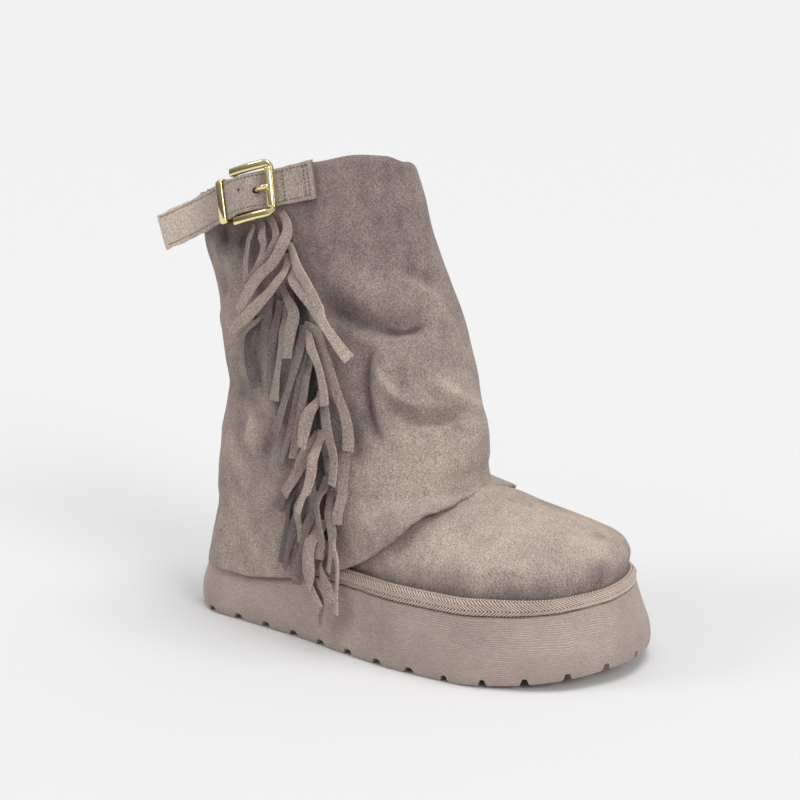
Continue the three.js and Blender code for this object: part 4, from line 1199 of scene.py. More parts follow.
@dataclass
class WeltTape:
    """The herringbone tape: a rolled band with yarn laid over it in arrowheads."""

    plan: Platform
    thickness: float = 4.3
    height: float = 8.3
    gap: float = 0.3
    pitch: float = 1.9
    toe_thinning: float = 0.26
    columns: int = 420
    inset: float = 4.8
    band_share: float = 0.93
    rows: tuple = (
        ("lower", 0.0, 0.05, 0.37, 1.9, 5.1), ("upper", 0.0, 0.35, 0.68, -1.9, 5.5),
        ("roll", -3.6, 0.66, 0.95, -1.7, 5.2),
    )
    yarn_size: tuple = (0.96, 1.1)
    edge: tuple = (0.50, 0.985)
    bead_pitch: float = 1.5
    bead_size: tuple = (1.25, 1.3, 1.0)
    section: tuple = ((0.00, 0.00), (0.70, 0.00), (0.93, 0.10), (1.00, 0.30), (1.00, 0.55), (0.93, 0.78),
                      (0.70, 0.94), (0.35, 1.00), (0.00, 1.00))

    def place(self, angle: Array, out: float, up: float) -> Array:
        """Points of the band at a share of its thickness and of its height."""
        plan = self.plan.inset(angle, 1.0, self.inset - self.thickness * out)
        height = self.height * (1 - self.toe_thinning * ease((plan[:, 0] - 215) / 55))
        return np.column_stack([plan, self.plan.top(plan[:, 0]) + self.gap + height * up])

    def row(self, lengths: Array, low: float, high: float, lean: float) -> tuple:
        """Places and directions of one row of slanted yarns.

        Args:
            lengths: where the yarns lie, as millimetres round the tape.
            low: share of the height where they start.
            high: share of the height where they end.
            lean: how far each end is ahead of or behind the middle.

        Returns:
            Middles, directions along, and directions outwards.
        """
        run = run_length(self.place(FINE_ANGLES, 1.0, 0.4))
        outs = smooth_curve([0.0, 0.1, 0.3, 0.5, 0.62, 0.8, 1.0], [0.86, 0.96, 1.0, 1.0, 0.97, 0.84, 0.45])
        middle = (low + high) / 2
        spots = []
        for ahead, share in ((0.0, middle), (-lean, low), (lean, high)):
            angle = np.interp(np.mod(lengths + ahead, run[-1]), run, FINE_ANGLES)
            spots.append(self.place(angle, float(outs(np.array(share))), share))
        centre, bottom, top = spots
        angle = np.interp(lengths, run, FINE_ANGLES)
        slope = (float(outs(np.array(low))) - float(outs(np.array(high)))) * self.thickness
        slope /= (high - low) * self.height
        out = np.column_stack([self.plan.outward(angle), np.full(len(angle), slope)])
        return centre, unit(top - bottom), unit(out)

    def build(self, band: Material, yarn: Material, scatter: Scatter) -> None:
        """Makes the band, its yarns and its beaded upper edge."""
        angle = around(self.columns)
        rings = np.array([self.place(angle, out * self.band_share, up) for out, up in self.section])
        faces = grid_faces(len(rings), len(angle), 0, True)
        settle(make_piece("tape_band", rings.reshape(-1, 3), faces, 50), "tape", "welt_tape", finish=band)
        run = run_length(self.place(FINE_ANGLES, 1.0, 0.4))
        count = int(run[-1] / self.pitch)
        lengths = np.arange(count) * run[-1] / count
        for name, shift, low, high, lean, long in self.rows:
            row = self.row(lengths + shift, low, high, lean)
            settle(scatter.lay("tape_herringbone_" + name, *row, (long, *self.yarn_size), yarn), "tape")
        beads = int(run[-1] / self.bead_pitch)
        spots = np.interp(np.arange(beads) * run[-1] / beads, run, FINE_ANGLES)
        edge = self.place(spots, *self.edge)
        flat = np.column_stack([self.plan.outward(spots), np.full(len(spots), 1.4)])
        way = unit(self.place(spots + 0.004, *self.edge) - edge)
        settle(scatter.lay("tape_edge", edge, way, unit(flat), self.bead_size, yarn), "tape")


@dataclass
class Upper:
    """The round-toed upper, and the lined inner shaft under the fold."""

    plan: Platform
    shaft: Shaft
    wall: float = 2.8
    columns: int = 300
    feather: float = 5.4
    fold_room: float = 5.8
    foot_rows: int = 66
    middle: tuple = (120.0, 0.0, 30.0)
    tuck: float = 1.1
    seam_drop: float = 5.6
    rim_drop: float = 3.4
    # Lighter and darker patches of the vamp, as x, y, z, reach and strength.
    patches: tuple = (
        (209, 27, 72, 8, -1.00), (247, 13, 65, 4, -0.90), (262, -8, 55, 7, -1.10), (203, 8, 78, 9, -0.35),
        (225, -12, 70, 22, 0.35), (194, -45, 62, 10, 0.30), (255, -3, 66, 13, 0.90), (228, -46, 52, 9, -0.40),
        (216, 38, 66, 12, 0.20), (240, 40, 56, 12, -0.20), (206, -50, 58, 8, -0.20),
    )
    rows: tuple = (
        (0.00, 0.00, 0.0000, 0.0000, 1.000, 1.000, 0.00, 0.380, 0.370),
        (0.21, 0.19, 0.0000, 0.0060, 1.000, 1.010, 0.00, 0.380, 0.370),
        (0.25, 0.31, 0.0000, 0.0080, 1.010, 1.030, 0.00, 0.380, 0.370),
        (0.28, 0.47, 0.0000, -0.0060, 1.015, 1.015, 0.00, 0.380, 0.370),
        (0.31, 0.58, 0.0005, -0.0450, 1.015, 0.965, 0.03, 0.380, 0.370),
        (0.34, 0.68, 0.0010, -0.0920, 1.010, 0.895, 0.08, 0.376, 0.366),
        (0.37, 0.79, 0.0015, -0.1530, 1.000, 0.820, 0.20, 0.366, 0.356),
        (0.40, 0.90, 0.0020, -0.2060, 0.990, 0.750, 0.38, 0.358, 0.348),
        (0.43, 0.98, 0.0030, -0.2700, 0.980, 0.690, 0.62, 0.352, 0.342),
        (0.46, 1.18, 0.0045, -0.3060, 0.970, 0.670, 0.80, 0.352, 0.342),
    )

    def vamp(self, angle: Array, row: Array) -> Array:
        """Rings of the vamp and quarters.

        Args:
            angle: angles round the foot.
            row: places in the table of rows, whole numbers or between them.

        Returns:
            One ring of points for each place.
        """
        table = np.array(self.rows).T
        curves = [smooth_curve(np.arange(table.shape[1]), column) for column in table]
        heel, toe = self.plan.ends(self.feather)
        rings = []
        for place in row:
            values = [float(curve(np.array(place))) for curve in curves]
            low, high, back, front, *wide, oval, near, far = values
            ends = heel + back * self.plan.length, toe + front * self.plan.length
            x, y = self.plan.oval(angle, self.feather, ends, wide, (near, far), oval)
            rise = self.shaft.instep_rise * mix(low, high, share_of(angle))
            rings.append(np.column_stack([x, y, self.plan.top(x) + TOP_GAP + rise]))
        return np.array(rings)

    def lumps(self, rings: Array) -> Array:
        """The vamp's soft unevenness."""
        return rumple(rings, Waves(8, 80.0, 28.0), 0.6, Waves(9, 24.0, 10.0))

    def shade_and_tone(self, points: Array) -> Array:
        """Painted shade and tone of the vamp: painted shade just over the tape, where the vamp meets it, with
        lighter and darker patches.
        """
        low = points[..., 2] - self.plan.top(points[..., 0])
        # Painted shade in a band just over the tape, where the vamp meets it.
        value = 0.45 - 1.25 * bell((low - 6.0) / 10.5)
        for x, y, z, reach, strength in self.patches:
            gap = np.linalg.norm(points - (x, y, z), axis=-1)
            value = value + strength * bell(gap / reach)
        return np.clip(value, -1, 1)

    def build(self, suede: Material, lining: Material) -> None:
        """Makes the upper's outside and its lining."""
        angle = around(self.columns)
        places = np.linspace(1, len(self.rows) - 1, self.foot_rows)
        foot = self.vamp(angle, np.concatenate([[0, 0.6], places]))
        above = foot[..., 2] - self.shaft.hem_height(angle)
        fade = np.concatenate([[0, 0, 0], ease(np.linspace(0.1, 1.5, self.foot_rows - 1))])[:, None]
        fade = fade * ease(-above / 10.0)
        shift = self.lumps(foot) * fade - self.tuck * ease((above + 3.0) / 6.0)
        foot = foot + unit(foot - np.array(self.middle)) * shift[..., None]
        reach = self.shaft.wall + 0.4
        hem, rim = self.shaft.hem_height(angle), self.shaft.rim_height(angle)
        seam = rim - self.seam_drop
        shaft = [self.under(angle, mix(hem, seam, share), reach) for share in np.linspace(0.21, 0.96, 30)]
        shaft += [self.shaft.face(angle, height, -reach) for height in (seam, rim - self.rim_drop)]
        outer = np.concatenate([foot, np.array(shaft)])
        inner = self.inward(outer)[::-1]
        last = len(inner) - 1
        keep = np.unique(np.concatenate([[0, 1], np.arange(2, last - 2, 2), [last - 1, last]]))
        rings = np.concatenate([outer, inner[keep]])
        shade_and_tone = np.zeros(rings.shape[:2])
        shade_and_tone[:len(foot)] = self.shade_and_tone(foot)
        lined = (len(outer) - 1, len(rings))
        settle(lined_piece("upper_outside", rings, shade_and_tone, (suede, lining), lined), "suede", "upper")

    def under(self, angle: Array, height: Array, reach: float) -> Array:
        """Points of the inner shaft, clear of the folds outside it."""
        clear = self.fold_room * ease((self.shaft.rim_height(angle) - height - 6) / 20)
        depth = (reach + clear)[..., None]
        return self.shaft.plain(angle, height) - self.shaft.outward(angle, height) * depth

    def inward(self, rings: Array) -> Array:
        """The rings moved in by the wall's thickness."""
        upwards = np.gradient(rings, axis=0)
        round_it = np.roll(rings, -1, 1) - np.roll(rings, 1, 1)
        out = np.cross(round_it, upwards)
        out[0, :, 2] = 0
        out[-1, :, 2] = 0
        return rings - unit(out) * self.wall


@dataclass
class Footbed:
    """The insole, a little dished and with a stitched line round it."""

    plan: Platform
    inset: float = 8.9
    thickness: float = 5.0
    columns: int = 200
    seam: float = 5.0
    section: tuple = ((0.0, 0.0), (0.0, 0.78), (0.25, 0.92), (0.9, 1.0), (6, 0.99), (14, 0.93), (24, 0.88))

    def build(self, lining: Material, thread: Material, scatter: Scatter) -> None:
        """Makes the insole and its stitches."""
        angle = around(self.columns)
        rings = []
        for depth, up in self.section:
            plan = self.plan.inset(angle, 1.0, self.inset + depth)
            rings.append(np.column_stack([plan, self.plan.top(plan[:, 0]) + TOP_GAP + self.thickness * up]))
        count, last = self.columns, len(rings) - 1
        faces = grid_faces(len(rings), count) + ladder_faces(0, count, False)
        faces += ladder_faces(last * count, count, True)
        piece = make_piece("footbed", np.array(rings).reshape(-1, 3), faces, 60)
        settle(piece, "lining", "insole", finish=lining)
        plan = self.plan.inset(np.linspace(0, FULL_TURN, 900), 1.0, self.inset + self.seam)
        path = np.column_stack([plan, self.plan.top(plan[:, 0]) + 0.32 + self.thickness])
        settle(stitch_line("footbed_stitches", scatter, path, np.array([0, 0, 1.0]), thread), "lining")


def stitch_line(name: str, scatter: Scatter, path: Array, out: Array,
                thread: Material, pitch: float = 2.5, length: float = 1.8) -> Piece:
    """Stitches at a pitch along a path.

    Args:
        name: the piece's name.
        scatter: the tree that lays them.
        path: points of the seam.
        out: outward direction, one or one for each point.
        thread: the thread's finish.
        pitch: from stitch to stitch.
        length: of one stitch.

    Returns:
        The piece.
    """
    run = run_length(path)
    spots = np.arange(pitch / 2, run[-1], pitch)
    way = unit(sample(path, run, spots + 0.4) - sample(path, run, spots - 0.4))
    facing = unit(sample(np.broadcast_to(out, path.shape), run, spots))
    return scatter.lay(name, sample(path, run, spots), way, facing, (length, *THREAD_SIZE), thread)


@dataclass
class ShaftCover:
    """The shaft's outer layer: folded over at the collar, cut raw at the hem."""

    shaft: Shaft
    columns: int = 400
    outer_rows: int = 152
    inner_rows: int = 60
    fold_drop: float = 3.6
    fold_depth: float = 14.0
    upper_wall: float = 2.8
    ragged: float = 0.12
    crowd: tuple = (0.35, 2.5)
    row_crowd: tuple = (0.985, 0.045, 0.45)
    seam: float = 0.5
    round: float = 0.18
    fibres: int = 1500

    def fold_rings(self, angle: Array, rim: Array) -> list:
        """Rings over the collar and down its hidden hook."""
        width = 2 * self.shaft.wall + self.upper_wall + 0.8
        rings = []
        for step in np.linspace(0, math.pi, 11):
            inwards = width * (1 - math.cos(step)) / 2
            drop = self.fold_drop * (1 - math.sin(step))
            rings.append(self.level_in(angle, rim - drop, inwards))
        for inwards, drop in ((width, 8), (width, self.fold_depth), (width - 0.8, self.fold_depth + 0.7),
                              (width - self.shaft.wall, self.fold_depth), (width - self.shaft.wall, 5.0),
                              (width - self.shaft.wall - 0.6, 2.9), (self.shaft.wall + 0.6, 2.9),
                              (self.shaft.wall, 4.0)):
            rings.append(self.level_in(angle, rim - drop, inwards))
        return rings

    def lined(self, angle: Array, height: Array) -> Array:
        """Points of the cover's inside, which the folds push in and never out."""
        points, out = self.shaft.plain(angle, height), self.shaft.outward(angle, height)
        deep = self.shaft.face(angle, height, -self.shaft.wall)
        folds = ((deep - points) * out).sum(-1) + self.shaft.wall
        room = ease((height - self.shaft.hem_height(angle)) / 14.0)
        return deep + out * (np.minimum(folds, 0) * 0.25 * room - 0.5 * room)[..., None]

    def level_in(self, angle: Array, height: Array, depth: float) -> Array:
        """Points behind the face, moved level."""
        out = self.shaft.outward(angle, height)
        out[..., 2] = 0
        return self.shaft.face(angle, height) - unit(out) * depth

    def build(self, suede: Material, lining: Material, scatter: Scatter) -> None:
        """Makes the cover and the loose fibres of its cut edge."""
        turn = around(self.columns)
        much, at = self.crowd
        angle = turn - much * (np.sin(turn - at) + math.sin(at))
        hem, rim = self.shaft.hem_height(angle), self.shaft.rim_height(angle)
        hem = hem + self.ragged * np.sin(angle * 23) * np.sin(angle * 7 + 1)
        top, wall = rim - self.fold_drop, self.shaft.wall
        step = np.linspace(0, 1, self.outer_rows)
        whole, much, at = self.row_crowd
        step = whole * (step - much * (np.sin(FULL_TURN * (step - at)) + math.sin(at * FULL_TURN)))
        heights = mix(hem + self.seam, top, step[:, None])
        outer = list(self.shaft.face(angle, heights))
        edge = [self.shaft.face(angle, hem + lift, -depth) for lift, depth in
                ((0.12, self.round), (0.0, wall * 0.5), (0.12, wall - self.round))]
        inner_steps = np.linspace(0.97, 0, self.inner_rows)[:, None]
        inner = list(self.lined(angle, mix(hem + self.seam, top, inner_steps)))
        rings = np.array(outer + self.fold_rings(angle, rim) + inner + edge[::-1])
        shade_and_tone = np.zeros(rings.shape[:2])
        # Painted shade and highlight of the folds and patches on the cover's outer face.
        shade_and_tone[:len(outer)] = self.shaft.shade_and_tone(angle, heights)
        shade_and_tone[len(outer):len(outer) + 6] = shade_and_tone[len(outer) - 1]
        lined = (len(outer) + 8, len(rings) - len(edge))
        settle(lined_piece("folded_shaft", rings, shade_and_tone, (suede, lining), lined), "suede", "shaft_cover")
        self.fuzz(rings, suede, scatter)

    def fuzz(self, rings: Array, suede: Material, scatter: Scatter) -> None:
        """Short fibres that stand out of the cut hem."""
        pick, count = np.random.default_rng(5), self.fibres
        column = pick.integers(0, rings.shape[1], count)
        ring = pick.integers(len(rings) - 3, len(rings), count)
        spots = rings[ring, column] + pick.normal(0, 0.15, (count, 3))
        down = np.column_stack([pick.normal(0, 0.5, count), pick.normal(0, 0.5, count), -np.ones(count)])
        out = np.cross(down, pick.normal(0, 1, (count, 3)))
        piece = scatter.lay("hem_fibres", spots, unit(down), unit(out), (1.1, 0.10, 0.10), suede, 0.5)
        settle(piece, "suede")


@dataclass
class Strap:
    """The buckled strap with its stitches, holes, sewn end and free tail."""

    shaft: Shaft
    width: float = 20.0
    thickness: float = 2.2
    tail_length: float = 43.0
    seat: float = 1.4
    crest: float = 7.2
    sharp: float = 45
    spare_hole: tuple = (57.6, 233.6)
    hole_radius: float = 1.05
    prong_room: float = 1.9
    stitch: tuple = (2.3, 1.7)
    cross_stitch: tuple = (2.1, 1.5)
    frays: int = 420
    corner: float = 0.95
    wobbles: tuple = ((0.22, 31, 0), (0.16, 57, 1))
    crown: float = 0.25
    # Painted light along the strap: its value all along, its value at the free tail, where the rise starts
    # and over what length.
    end_bow: tuple = (0.7, 1.5)
    lit_tail: tuple = (0.2, 1.0, 38, 34)
    rows: tuple = (
        (0.3650, 1.924, 0.00), (0.3350, 1.912, 0.00), (0.3080, 1.902, 0.00), (0.2860, 1.893, 0.02),
        (0.2680, 1.886, 0.14), (0.2480, 1.878, 0.70), (0.2200, 1.866, 1.00), (0.1920, 1.852, 1.00),
        (0.1640, 1.836, 0.66), (0.1350, 1.820, 0.50), (0.1000, 1.797, 0.42),
    )

    def __post_init__(self) -> None:
        """Prepares the path's curves and its samples."""
        self.path = columns_of("level lift", self.rows[::-1])
        self.centres, self.across, self.out = self.stations(150)

    def stand(self, along: Array) -> Array:
        """How far the strap's middle stands off the shaft."""
        return mix(self.seat, self.crest, self.path["lift"](along))

    def spots(self, along: Array, stand: Array) -> tuple:
        """Points on the strap's line over the shaft, without the shaft's folds."""
        length = self.shaft.platform.length
        x, height = along * length, self.shaft.height_of(self.path["level"](along))
        angle = self.shaft.side_angle(x, height)
        out = self.shaft.outward(angle, height)
        return self.shaft.plain(angle, height) + out * stand[:, None], out

    def stations(self, count: int) -> tuple:
        """Samples of the strap's middle line with its directions across and outwards."""
        along = np.linspace(self.rows[0][0], self.rows[-1][0], 60)
        held, out = self.spots(along, self.stand(along))
        heading, fall = math.radians(9), math.radians(20)
        level = math.cos(fall)
        way = np.array([-math.cos(heading) * level, math.sin(heading) * level, -math.sin(fall)])
        side = np.array([-math.sin(heading), -math.cos(heading), 0.0])
        shares = np.array([0.34, 0.67, 1.0])
        tail = held[-1] + way * self.tail_length * shares[:, None]
        tail_out = unit(mix(out[-1], side, np.minimum(1, 2 * shares)[:, None]))
        line, facing = np.vstack([held[::4], tail]), np.vstack([out[::4], tail_out])
        both = thread_curve(np.hstack([line, facing * 6.0]), count)
        centres, outs = both[:, :3], both[:, 3:]
        along_way = unit(np.gradient(centres, axis=0))
        across = unit(np.cross(along_way, unit(outs)))
        return centres, across, np.cross(across, along_way)

    def local_frame(self, along: float, level: float) -> Matrix:
        """Axes of a metal part: along the strap to the toe, across it upwards, and out of the shaft.

        Args:
            along: share of the sole's length.
            level: height level.

        Returns:
            A matrix in millimetres.
        """
        length = self.shaft.platform.length
        x, height = along * length, float(self.shaft.height_of(np.array(level)))
        step = 0.01
        ends = self.shaft.height_of(self.path["level"](np.array([along + step, along - step])))
        slope = (ends[0] - ends[1]) / (2 * step * length)
        xs = np.array([x + 8, x - 8, x])
        zs = height + slope * (xs - x)
        angle = self.shaft.side_angle(xs, zs)
        points, out = self.shaft.plain(angle, zs), self.shaft.outward(angle, zs)
        way = Vector(points[0] - points[1]).normalized()
        across = Vector(out[2]).cross(way).normalized()
        facing = way.cross(across)
        axes = Matrix((way, across, facing)).transposed().to_4x4()
        return Matrix.Translation(Vector(points[2])) @ axes

    def edge_line(self, share: float, start: int = 0, stop: int | None = None, lift: float = 0.1) -> Array:
        """A line on the outer face at a share of the half width across."""
        centres, across, out = (v[start:stop] for v in (self.centres, self.across, self.out))
        return centres + across * share * self.width / 2 + out * (self.thickness / 2 + lift)

    def build(self, suede: Material, thread: Material, scatter: Scatter,
              prong: Array) -> None:
        """Makes the strap.

        Args:
            suede: the strap's finish.
            thread: the stitches' finish.
            scatter: the tree that lays stitches.
            prong: points of the prong, which passes through the strap.
        """
        steps = len(self.centres)
        share = np.arange(steps) / (steps - 1)
        section = rounded_section(self.width, self.thickness, self.corner, 4)
        sections = np.repeat(section[None], steps, 0)
        wobble = sum(size * np.sin(share * pace + start) for size, pace, start in self.wobbles)
        sections[..., 0] += np.sign(section[:, 0]) * wobble[:, None]
        crown = 1 - (np.abs(section[:, 0]) / (self.width / 2)) ** 2
        sections[..., 1] += self.crown * crown * np.sign(section[:, 1])
        slip = np.zeros((steps, 1))
        slip[-2:, 0] = self.end_bow
        points, faces = sweep(self.centres, self.across, self.out, sections)
        rings = points.reshape(steps, -1, 3)
        rings -= unit(np.gradient(self.centres, axis=0))[:, None] * (slip * crown[None])[..., None]
        piece = make_piece("strap", rings.reshape(-1, 3), faces, 50)
        x, z = (np.array([v]) for v in self.spare_hole)
        angle = self.shaft.side_angle(x, z)
        spot, facing = self.shaft.plain(angle, z), self.shaft.outward(angle, z)
        pin = spot + facing * np.array([[0.0], [7.0], [14.0]])
        cut_away(piece, [tube(pin, self.hole_radius, 14), tube(prong, self.prong_room, 12)])
        smooth_but(piece.data, self.sharp)
        places = np.array([v.co.x for v in piece.data.vertices]) / MILLIMETRE + HEEL_MIDDLE
        # Painted light: the strap gets lighter towards its free tail.
        dull, light, start, over = self.lit_tail
        paint_shade_and_tone(piece, dull + (light - dull) * ease((start - places) / over))
        settle(piece, "suede", "strap", finish=suede)
        self.sew(thread, scatter)
        self.fray(suede, scatter)

    def stitches(self, name: str, path: Array, out: Array, stitch: tuple, thread: Material,
                 scatter: Scatter) -> None:
        """One row of stitches, by its path, its outward direction and its pitch and length."""
        piece = stitch_line("strap_stitches_" + name, scatter, path, out, thread, *stitch)
        settle(piece, "suede")

    def sew(self, thread: Material, scatter: Scatter) -> None:
        """Stitches along both edges, round the sewn end and across it."""
        for name, side in (("upper", -0.80), ("lower", 0.80)):
            path = self.edge_line(side, 3, len(self.centres) - 3)
            self.stitches(name, path, self.out[3:-3], self.stitch, thread, scatter)
        shares = np.linspace(-0.84, 0.84, 24)[:, None]
        for name, station in (("end", 3), ("end_second", 6), ("cross", 22)):
            centre = self.centres[station] + self.out[station] * (self.thickness / 2 + 0.3)
            path = centre + self.across[station] * shares * self.width / 2
            self.stitches(name, path, self.out[station], self.cross_stitch, thread, scatter)

    def fray(self, suede: Material, scatter: Scatter) -> None:
        """Loose fibres on the cut ends."""
        pick, count = np.random.default_rng(11), self.frays
        across = pick.uniform(-1, 1, count)[:, None] * self.width / 2
        depth = pick.uniform(-1, 1, count)[:, None] * self.thickness / 2
        spots = self.centres[0] + self.across[0] * across + self.out[0] * depth
        way = unit(self.centres[0] - self.centres[2]) + pick.normal(0, 0.55, (count, 3))
        out = np.cross(way, pick.normal(0, 1, (count, 3)))
        piece = scatter.lay("strap_fibres", spots, unit(way), unit(out), (1.5, 0.12, 0.12), suede, 0.5)
        settle(piece, "suede")

    def backing(self, suede: Material) -> None:
        """The short layer under the strap that carries the keeper."""
        along = np.linspace(0.178, 0.088, 40)
        centres, out = self.spots(along, np.full(40, 1.15))
        centres[:, 2] += ease(np.linspace(0, 1.6, 40)) * 3.2
        piece = make_piece("strap_backing", *ribbon(centres, out, rounded_section(18.0, 1.5, 0.7, 3)), 50)
        settle(piece, "suede", "chape", finish=suede)


def tube(path: Array, radius: object, sides: int = 16) -> tuple:
    """A round bar along a path.

    Args:
        path: points of its middle line.
        radius: one radius, or one for each point.
        sides: corners of its section.

    Returns:
        Points and faces.
    """
    way = unit(np.gradient(path, axis=0))
    seed = np.array([0.0, 0.0, 1.0]) if abs(way[0][2]) < 0.8 else np.array([1.0, 0.0, 0.0])
    across = [unit(np.cross(way[0], seed))]
    for step in way[1:]:
        last = across[-1]
        across.append(unit(last - step * np.dot(last, step)))
    across = np.array(across)
    turn = around(sides)
    circle = np.stack([np.cos(turn), np.sin(turn)], -1)
    radii = np.broadcast_to(radius, (len(path),))
    return sweep(path, across, np.cross(way, across), circle[None] * radii[:, None, None])


@dataclass
class Buckle:
    """The gilt frame with its roller, prong and keeper."""

    strap: Strap
    length: float = 31.0
    inner: float = 21.6
    bar: float = 4.4
    depth: float = 3.6
    roller: float = 2.3
    hinge: float = 1.1
    bend: float = 70.0
    corner: float = 3.4
    core: float = 1.2
    ear: float = 1.7
    eye: tuple = (2.0, 24)
    thin_front: tuple = (0.55, 0.35)
    drop_front: float = -0.35
    roller_profile: tuple = ((0.35, 1.75), (0.6, 2.2), (1.0, 2.3))
    prong_shape: tuple = ((0, 0.5, 0.75, 0.9, 0.97, 1.0), (1.0, 1.05, 1.35, 1.45, 1.2, 0.5))
    place: tuple = (0.2345, 1.8725)
    keeper_place: tuple = (0.1635, 1.8355)
    keeper_width: float = 4.9
    keeper_room: tuple = (2.2, 2.6, 1.3, 1.5)

    def __post_init__(self) -> None:
        """Works out the heights of the bars over the shaft."""
        self.roller_at = (self.length / 2 - self.bar / 2, 5.1)
        self.hinge_at = (self.bar / 2 - self.length / 2, 2.9)

    def moved(self, points: Array, place: tuple) -> Array:
        """Points drawn in the metal's own axes, moved to the shoe."""
        axes = np.array(self.strap.local_frame(*place))
        return points @ axes[:3, :3].T + axes[:3, 3]

    def mount(self, node: str, parts: Sequence[tuple], place: tuple, gilt: Material) -> None:
        """Makes the gilt piece that stands for a solid, from parts in the metal's own axes."""
        points, faces = join_parts(parts)
        piece = make_piece(node + "_gilt", self.moved(points, place), faces, 50)
        settle(piece, "gilt", node, finish=gilt)

    def arm(self, a: Array, n: float) -> Array:
        """Height of the frame's side bars, which bow round the shaft."""
        return n + self.roller_at[0] ** 2 / (2 * self.bend) - a ** 2 / (2 * self.bend)

    def frame_path(self) -> Array:
        """Middle line of the frame, from one hinge ear round the front to the other."""
        half = (self.inner + self.bar) / 2
        front, back, corner = self.roller_at[0] + 1.0, self.hinge_at[0], self.corner

        def bend(start: float, across: float) -> list:
            """One rounded corner, from its first angle and with its middle across the frame."""
            turn = np.linspace(start, start + math.pi / 2, 8)[1:]
            return [(front - corner + corner * math.cos(t), across + corner * math.sin(t)) for t in turn]

        line = [(a, -half) for a in np.linspace(back, front - corner, 20)]
        line += bend(-math.pi / 2, -half + corner)
        line += [(front, b) for b in np.linspace(-half + corner, half - corner, 10)[1:]]
        line += bend(0.0, half - corner)
        line += [(a, half) for a in np.linspace(front - corner, back, 20)[1:]]
        flat = np.array(line)
        return np.column_stack([flat, self.arm(flat[:, 0], self.roller_at[1])])

    def prong_path(self, extra: float = 0.0) -> Array:
        """Middle line of the prong, from its eye through the strap to the roller."""
        start = self.hinge_at[0] + self.hinge + 0.9
        over, rest = self.roller_at[0], self.roller_at[1] + self.roller + 1.35
        share = over - start
        line = np.array([
            (start, 0, self.hinge_at[1]), (start + 0.24 * share, 0, self.hinge_at[1] + 0.9),
            (start + 0.47 * share, 0, self.hinge_at[1] + 1.7), (start + 0.78 * share, 0, rest - 0.9),
            (over - 2, 0, rest + 0.15), (over + 1.3 + extra, 0, rest - 0.7),
        ])
        return thread_curve(line, 40)

    def prong_in_shoe(self, extra: float) -> Array:
        """The prong's line in the shoe's own place."""
        return self.moved(self.prong_path(extra), self.place)

    def build_frame(self, gilt: Material) -> None:
        """Makes the frame and its roller."""
        path = self.frame_path()
        way = unit(np.gradient(path, axis=0))
        up = np.tile([0.0, 0.0, 1.0], (len(path), 1))
        across = unit(np.cross(up, way))
        section = rounded_section(self.bar, self.depth, 1.25, 5)
        thin = np.abs(way[:, 1])[:, None, None]
        sections = section[None] * (1 - thin * np.array(self.thin_front))
        sections = sections + thin * np.array([0.0, self.drop_front])
        frame_bar = sweep(path, across, np.cross(way, across), sections)
        half = self.inner / 2
        a, n = self.roller_at
        left = [(-half + inset, radius) for inset, radius in self.roller_profile]
        turned = np.array(left + [(-b, radius) for b, radius in left[::-1]])
        roller_path = np.array([(a - 0.4, b, n) for b, _ in turned])
        roller = tube(roller_path, turned[:, 1], 28)
        core = tube(np.array([(a - 0.4, b, n) for b in (-half - 1, 0.0, half + 1)]), self.core, 12)
        back, low = self.hinge_at
        hinge_line = np.array([(back, b, low) for b in (-half - 1.5, 0.0, half + 1.5)])
        hinge = tube(hinge_line, self.hinge, 12)
        ears = []
        for side in (-1, 1):
            b = side * (self.inner + self.bar) / 2
            top = self.arm(np.array(back), self.roller_at[1])
            line = np.array([(back, b, z) for z in np.linspace(low - 1.2, top, 4)])
            ears.append(tube(line, self.ear, 16))
        self.mount("buckle_frame", [frame_bar, roller, core, hinge, *ears], self.place, gilt)

    def build_prong(self, gilt: Material) -> None:
        """Makes the prong with the eye that turns on the hinge bar."""
        path = self.prong_path()
        share = np.linspace(0, 1, len(path))
        radius = np.interp(share, *self.prong_shape)
        back, low = self.hinge_at
        reach, steps = self.eye
        turn = np.linspace(0, FULL_TURN, steps + 1)[:-1]
        eye = np.stack([back + reach * np.cos(turn), 0 * turn, low + reach * np.sin(turn)], -1)
        across = np.tile([0.0, 1.0, 0.0], (steps, 1))
        out = unit(eye - np.array([back, 0, low]))
        ring = sweep(eye, across, out, rounded_section(2.4, 1.1, 0.4, 3), True)
        self.mount("buckle_prong", [tube(path, radius, 18), ring], self.place, gilt)

    def build_keeper(self, gilt: Material) -> None:
        """Makes the flat loop that holds the strap down."""
        along = np.array([self.keeper_place[0]])
        middle = float(self.strap.stand(along)[0])
        below, above, beside, corner = self.keeper_room
        half_across, low, high = self.strap.width / 2 + beside, middle - below, middle + above
        line = []
        for b, n, start in ((half_across, high, 0.0), (-half_across, high, 0.5), (-half_across, low, 1.0),
                            (half_across, low, 1.5)):
            for i in range(6):
                t = math.pi * (start + 0.1 * i)
                line.append((0.0, b - math.copysign(corner, b) + corner * math.cos(t),
                             n - (corner if n == high else -corner) + corner * math.sin(t)))
        path = np.array(line)
        bow = 1 - (path[:, 1] / half_across) ** 2
        path[:, 2] += np.where(path[:, 2] > middle, 0.5 * bow, 0.0)
        way = unit(np.roll(path, -1, 0) - np.roll(path, 1, 0))
        across = np.tile([1.0, 0.0, 0.0], (len(path), 1))
        section = rounded_section(self.keeper_width, 1.5, 0.62, 4)
        loop = sweep(path, across, np.cross(way, across), section, True)
        self.mount("keeper", [loop], self.keeper_place, gilt)


